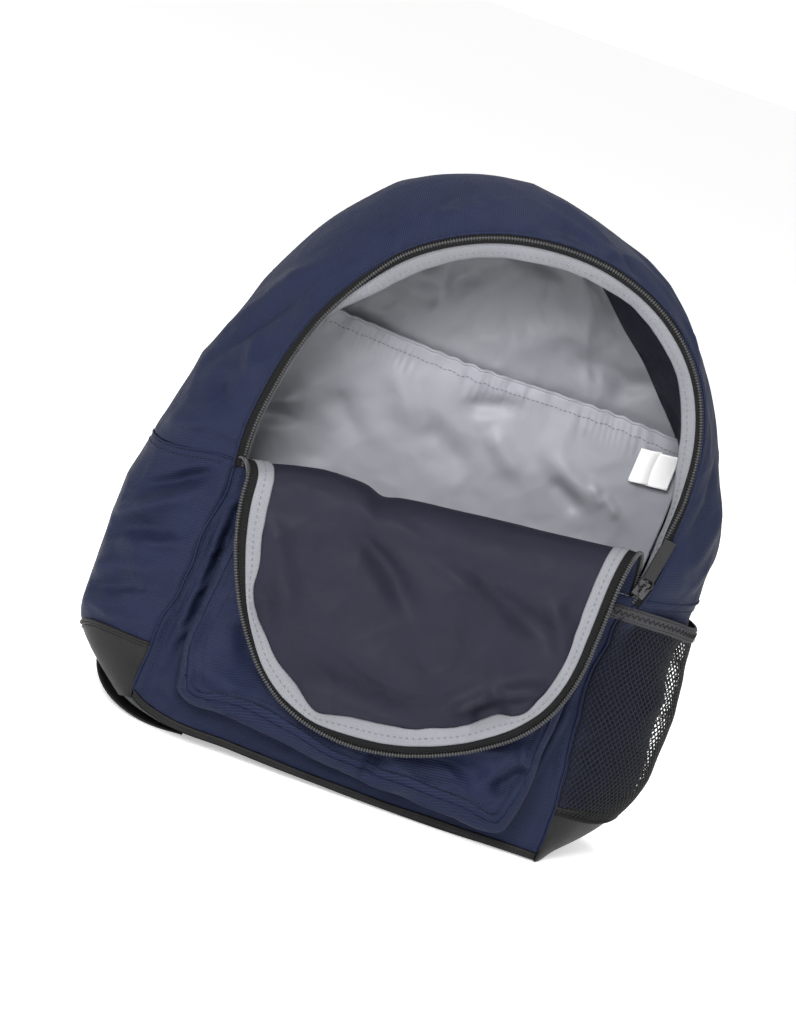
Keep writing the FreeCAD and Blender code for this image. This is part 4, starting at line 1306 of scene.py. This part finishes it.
def make_back_pad():
    (cx, cz), (hx, hz) = PAD["middle"], PAD["half"]
    u, v = squarish(199, PAD["corner"])
    ring = xyz((cx + hx * u) * MM, BACK_SEAM_Y + 2.6 * MM, (cz + hz * v) * MM)
    sweep("back_pad_piping", ring, BACKWARD, oval(3.6, 3.0), "tape", closed=True)
    u = np.linspace(-1, 1, 170)[None, :]
    v = np.linspace(-1, 1, 230)[:, None]
    x = cx + hx * 0.985 * u * (1 - np.abs(v) ** PAD["corner"] * 0.98) ** (1 / PAD["corner"])
    z = cz + hz * 0.985 * v + 0 * u
    y = np.minimum(BACK_SEAM_Y + 2.6 * MM + pad_height(x, z), PAD_TOP_Y)
    pad = cloth("back_pad", xyz(x * MM, y, z * MM), "air_mesh", "shell_fabric", flip=True, thick=1.0)
    for n, at in enumerate(CHANNELS_Z):
        x = np.linspace(cx - hx * 0.9, cx + hx * 0.9, 120)
        z = at + 8 * ((x - cx) / hx) ** 2
        quilting(f"back_channel_{n + 1}", x, z)
    for n, at in enumerate(CHANNELS_X):
        z = np.linspace(cz - hz * 0.92, cz + hz * 0.92, 160)
        quilting(f"back_rib_{n + 1}", np.full_like(z, at), z)


def make_back_seam():
    rows = np.linspace(46 * MM, SEAM_Z, 40)
    arc = np.radians(np.linspace(-18, 198, 160))
    left, right = back_seam(rows)
    path = [(x, z) for x, z in zip(right, rows)]
    path += [(ARCH.x + BACK_R * math.cos(t), ARCH.z + BACK_R * math.sin(t)) for t in arc]
    path += [(x, z) for x, z in zip(left[::-1], rows[::-1])]
    seam = np.array([(x, BACK_SEAM_Y + 0.6 * MM, z) for x, z in path])
    sweep("back_seam_piping", seam, BACKWARD, oval(3.4, 3.0), "shell")


def make_yoke():
    c = np.linspace(-1, 1, 90)[None, :]
    r = np.linspace(0, 1, 24)[:, None]
    x = ARCH.x + 104 * MM * c
    top = ARCH.z + np.sqrt((163 * MM) ** 2 - (x - ARCH.x) ** 2)
    z = 383 * MM + (top - 383 * MM) * r
    edge = np.minimum(ease(0, 0.12, r), ease(1, 0.9, r)) * ease(1, 0.96, np.abs(c))
    y = 66.2 * MM + 3.0 * MM * edge + 0.4 * MM * cloud(xyz(x, 0, z), 0.03, 84)
    yoke_grid = xyz(x, y, z)
    yoke = cloth("strap_yoke_cloth", yoke_grid, "shell", "shell_fabric", flip=True)
    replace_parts(yoke, "strap_yoke")
    for n, row in enumerate((3, 20)):
        stitches(f"yoke_stitches_{n + 1}", yoke_grid[row, 4:-4] + (0, 0.5 * MM, 0), BACKWARD, "navy_thread")


def make_haul_loop():
    t = np.linspace(0, np.pi, 60)
    loop = [(-49, 70.2), (-45, 70.2), (-41.5, 71.2)]
    loop += [(6 - 47 * math.cos(v) * (1 - 0.15 * math.sin(v)), 72.5 + 29 * math.sin(v) ** 0.75)
             for v in t[2:-2]]
    loop += [(53.5, 71.2), (57, 70.2), (61, 70.2)]
    path = relaxed(np.array([(x, y, 413 + 0.6 * math.sin(x / 9)) for x, y in loop]) * MM, 3)
    out = np.gradient(path, axis=0)
    out = xyz(-out[:, 1], out[:, 0], 0)
    haul = sweep("haul_loop_webbing", path, unit(out), flat_band(22, 2.0), "webbing")
    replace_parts(haul, "haul_loop")
    for side, x0, x1 in (("left", -49, -43), ("right", 55, 61)):
        for n, x in enumerate((x0 + 1, x1 - 0.5)):
            z = np.linspace(404, 422, 20) * MM
            bar = xyz(x * MM, 71.6 * MM, z)
            stitches(f"haul_{side}_bartack_{n + 1}", bar, BACKWARD, "black_thread", pitch=1.6,
                     size=(1.5, 1.6, 0.5))


# ------------------------------------------------------------------ shoulder straps
STRAP_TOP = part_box("left_strap")[1].z
STRAP_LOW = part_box("left_strap")[0].z
STRAP_MIDDLE_Y = 76 * MM
WEB = flat_band(25, 1.8)
# middle lines of the right strap's webbing: from pad to lock, from base tab to lock, and the loose tail
LOCK_WEB = [(90, 76, 126), (90, 76, 138), (90, 76.6, 148), (89.82, 81, 154), (88.65, 83.6, 162),
            (85.95, 83.8, 180), (81.9, 83.8, 206)]
LOWER_WEB = [(139, 68.6, 40), (127, 69.6, 58), (112, 71.8, 78), (98, 74.6, 94), (92.5, 75.6, 103),
             (91, 76, 107)]
TAIL_WEB = [(90, 80.3, 131), (90, 80.6, 118), (89.6, 81.4, 100), (90.6, 80.6, 78), (90, 81.6, 56),
            (90, 82, 51)]
BASE_TAB = [(118, 18), (160, 18), (160, 60)]


def mirrored(line, side):
    return [(side * x, y, z) for x, y, z in line]


def strap_line(t):
    """Middle and half width of a shoulder strap, in mm, at a share of the way down it."""
    return 53 + 37 * t + 2.5 * np.sin(np.pi * t), 31 - 15 * t


def places_of(mesh):
    co = np.zeros(len(mesh.vertices) * 3)
    mesh.vertices.foreach_get("co", co)
    return co.reshape(-1, 3)


def puffed(name, verts, faces, look, body, cap=2.2, pressure=4.0, voxel=4.5, frames=20):
    """A closed shape blown up as cloth, with no point moved further than cap; cap and voxel are in mm."""
    piece = made(name, verts, faces, look, None)
    bpy.context.view_layer.objects.active = piece
    shape = piece.modifiers.new("remesh", "REMESH")
    shape.mode = "VOXEL"
    shape.voxel_size = voxel * MM
    graph = bpy.context.evaluated_depsgraph_get()
    piece.data = bpy.data.meshes.new_from_object(piece.evaluated_get(graph))
    piece.modifiers.clear()
    start = places_of(piece.data)
    sim = piece.modifiers.new("cloth", "CLOTH")
    sim.settings.use_pressure = True
    sim.settings.uniform_pressure_force = pressure
    sim.settings.effector_weights.gravity = 0
    sim.settings.quality = 5
    sim.point_cache.frame_start = 1
    sim.point_cache.frame_end = frames
    scene = bpy.context.scene
    for number in range(1, frames + 1):
        scene.frame_set(number)
    graph = bpy.context.evaluated_depsgraph_get()
    move = places_of(piece.evaluated_get(graph).data) - start
    piece.modifiers.clear()
    scene.frame_set(1)
    far = np.linalg.norm(move, axis=1, keepdims=True)
    move *= np.minimum(1, cap * MM / np.maximum(far, 1e-9))
    piece.data.vertices.foreach_set("co", (start + move).ravel())
    smooth = piece.modifiers.new("smooth", "SUBSURF")
    smooth.levels = smooth.render_levels = 1
    graph = bpy.context.evaluated_depsgraph_get()
    piece.data = bpy.data.meshes.new_from_object(piece.evaluated_get(graph))
    piece.modifiers.clear()
    piece.data.materials.clear()
    piece.data.materials.append(looks[look])
    piece.data.shade_smooth()
    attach(piece, body)
    return piece


def strap_pad(side, word):
    rows, ring = 60, 28
    t = np.linspace(0, 1, rows)
    middle, half = strap_line(t)
    z = STRAP_TOP + (STRAP_LOW - STRAP_TOP) * t
    u, v = squarish(ring, 3.4)
    taper = np.minimum(1, 0.55 + 6 * np.minimum(t, 1 - t))
    x = side * (middle[:, None] + (half - 2.0)[:, None] * u[None, :]) * MM
    y = STRAP_MIDDLE_Y + 4.0 * MM * taper[:, None] * v[None, :]
    verts = xyz(x, y, z[:, None])
    faces = quads(rows, ring, True) + caps(rows, ring)
    if side > 0:
        faces = [f[::-1] for f in faces]
    pad = puffed(word + "_strap_pad", verts, faces, "strap_cloth", word + "_strap")
    co = places_of(pad.data)
    t = np.clip((STRAP_TOP - co[:, 2]) / (STRAP_TOP - STRAP_LOW), 0, 1)
    middle, half = strap_line(t)
    edge = half - np.abs(side * co[:, 0] / MM - middle)
    pinch = 0.42 * np.exp(-((edge - 8.5) / 2.6) ** 2)
    co[:, 1] = STRAP_MIDDLE_Y + (co[:, 1] - STRAP_MIDDLE_Y) * (1 - pinch)
    pad.data.vertices.foreach_set("co", co.ravel())
    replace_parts(pad, word + "_strap")


def box_stitch(name, corners, y, look, body):
    """A sewn square with a cross in it, on a face that looks backward."""
    (x0, z0), (x1, z1) = corners
    runs = [((x0, z0), (x1, z0)), ((x1, z0), (x1, z1)), ((x1, z1), (x0, z1)), ((x0, z1), (x0, z0)),
            ((x0, z0), (x1, z1)), ((x0, z1), (x1, z0))]
    for k, (a, b) in enumerate(runs):
        t = np.linspace(0, 1, 12)
        path = xyz((a[0] + (b[0] - a[0]) * t) * MM, 0 * t + y, (a[1] + (b[1] - a[1]) * t) * MM)
        stitches(f"{name}_{k + 1}", path, BACKWARD, look, body=body, pitch=2.6, size=(1.9, 0.6, 0.5))


def strap_seams(side, word):
    body = word + "_strap"
    t = np.linspace(0, 1, 70)
    middle, half = strap_line(t)
    z = STRAP_TOP + (STRAP_LOW - STRAP_TOP) * t
    for edge, name in ((-1, "inner"), (1, "outer")):
        x = side * (middle + edge * (half - 0.8)) * MM
        path = xyz(x, STRAP_MIDDLE_Y, z)
        sweep(f"{word}_strap_{name}_binding", path, BACKWARD, oval(4.0, 5.5, 10), "tape", body)
        x = side * (middle + edge * (half - 8.5)) * MM
        groove = xyz(x, STRAP_MIDDLE_Y + 3.7 * MM, z)[3:-3]
        stitches(f"{word}_strap_{name}_stitches", groove, BACKWARD, "black_thread", body=body)


def strap_webbing(side, word):
    body = word + "_strap"
    path = smooth_path(mirrored(LOCK_WEB, side), 50)
    web = sweep(word + "_strap_webbing", path, BACKWARD, WEB, "webbing", body)
    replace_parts(web, word + "_lock_webbing")
    middle = side * 85.0
    corners = ((middle - 8, 178), (middle + 8, 200))
    box_stitch(word + "_strap_box", corners, 84.9 * MM, "pale_thread", body)
    path = smooth_path(mirrored(LOWER_WEB, side), 60)
    low = sweep(word + "_lower_web", path, BACKWARD, WEB, "webbing", None)
    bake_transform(low)
    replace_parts(low, word + "_lower_webbing")
    tail = smooth_path(mirrored(TAIL_WEB, side), 60)
    web = sweep(word + "_tail_web", tail, BACKWARD, WEB, "webbing", body)
    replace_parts(web, word + "_webbing_tail")
    x = np.linspace(-11, 11, 20)
    for k, z in enumerate((51.5, 60)):
        row = xyz((side * 90 + x) * MM, 82.9 * MM, z * MM)
        stitches(f"{word}_tail_stitches_{k + 1}", row, BACKWARD, "black_thread", body=body, pitch=2.4,
                 size=(1.8, 0.6, 0.5))


def strap_root(side, word):
    """The cloth that joins the pad to the yoke."""
    body = word + "_strap"
    r = np.linspace(0, 1, 26)[:, None]
    c = np.linspace(-1, 1, 40)[None, :]
    z = (398 - 34 * r) * MM
    down = np.clip((STRAP_TOP - z) / (STRAP_TOP - STRAP_LOW), 0, 1)
    middle, half = strap_line(down)
    x = side * (middle + (half + 1.6) * np.sin(c * np.pi / 2)) * MM
    crown = ease(0, 0.62, r)
    y = 69.6 * MM + (13.6 * MM * crown) * (1 - 0.55 * np.abs(np.sin(c * np.pi / 2)) ** 6)
    root_grid = xyz(x, y, z)
    root = cloth(word + "_strap_root", root_grid, "shell", "shell_fabric", body=None, flip=side > 0)
    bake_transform(root)
    for k, row in enumerate((19, 23)):
        way = root_grid[row, 3:-3] + (0, 0.7 * MM, 0)
        stitches(f"{word}_root_stitches_{k + 1}", way, BACKWARD, "navy_thread", body=body)


def base_tab(side, word):
    u = np.linspace(0, 1, 30)[:, None]
    v = np.linspace(0, 1, 30)[None, :]
    a, b, d = (np.array((side * x, z), float) for x, z in BASE_TAB)
    flat = (a + (b - a) * u[..., None]) * (1 - v[..., None]) + (a + (d - a) * u[..., None]) * v[..., None]
    lift = np.minimum(ease(0, 0.14, v), ease(1, 0.86, v)) * ease(0, 0.1, u)
    y = 66.4 * MM + 2.2 * MM * lift
    tab_grid = xyz(flat[..., 0] * MM, y, flat[..., 1] * MM)
    tab = cloth(word + "_base_tab_cloth", tab_grid, "leather", "webbing", flip=side < 0)
    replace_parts(tab, word + "_base_tab")
    for k, column in enumerate((2, 25)):
        row = tab_grid[4:-1, column] + (0, 0.7 * MM, 0)
        stitches(f"{word}_tab_stitches_{k + 1}", row, BACKWARD, "black_thread", pitch=2.8)


set_camera()
lay_floor()
light_up()
make_shell()
for side, word in SIDES:
    base_side(side, word)
base_underside()
base_front()
under_web()
base_back()
make_front()
make_pocket()
make_pocket_zip()
make_flap()
make_mouth()
make_lining()
make_sleeve()
make_inner_gusset()
make_label()
make_mesh_pocket()
make_back_panel()
make_back_pad()
make_back_seam()
make_yoke()
make_haul_loop()
for side, word in SIDES:
    for part in (strap_pad, strap_seams, strap_webbing, strap_root, base_tab):
        part(side, word)
HARDWARE = {"main_zip_slider": "metal", "pocket_zip_slider": "metal", "main_zip_ring": "black_metal",
            "pocket_zip_ring": "black_metal", "main_zip_tab": "rubber", "pocket_zip_tab": "rubber",
            "left_ladder_lock": "plastic", "right_ladder_lock": "plastic"}
for node, look in HARDWARE.items():
    for surface in frame["nodes"][node].material_slots:
        surface.material = looks[look]
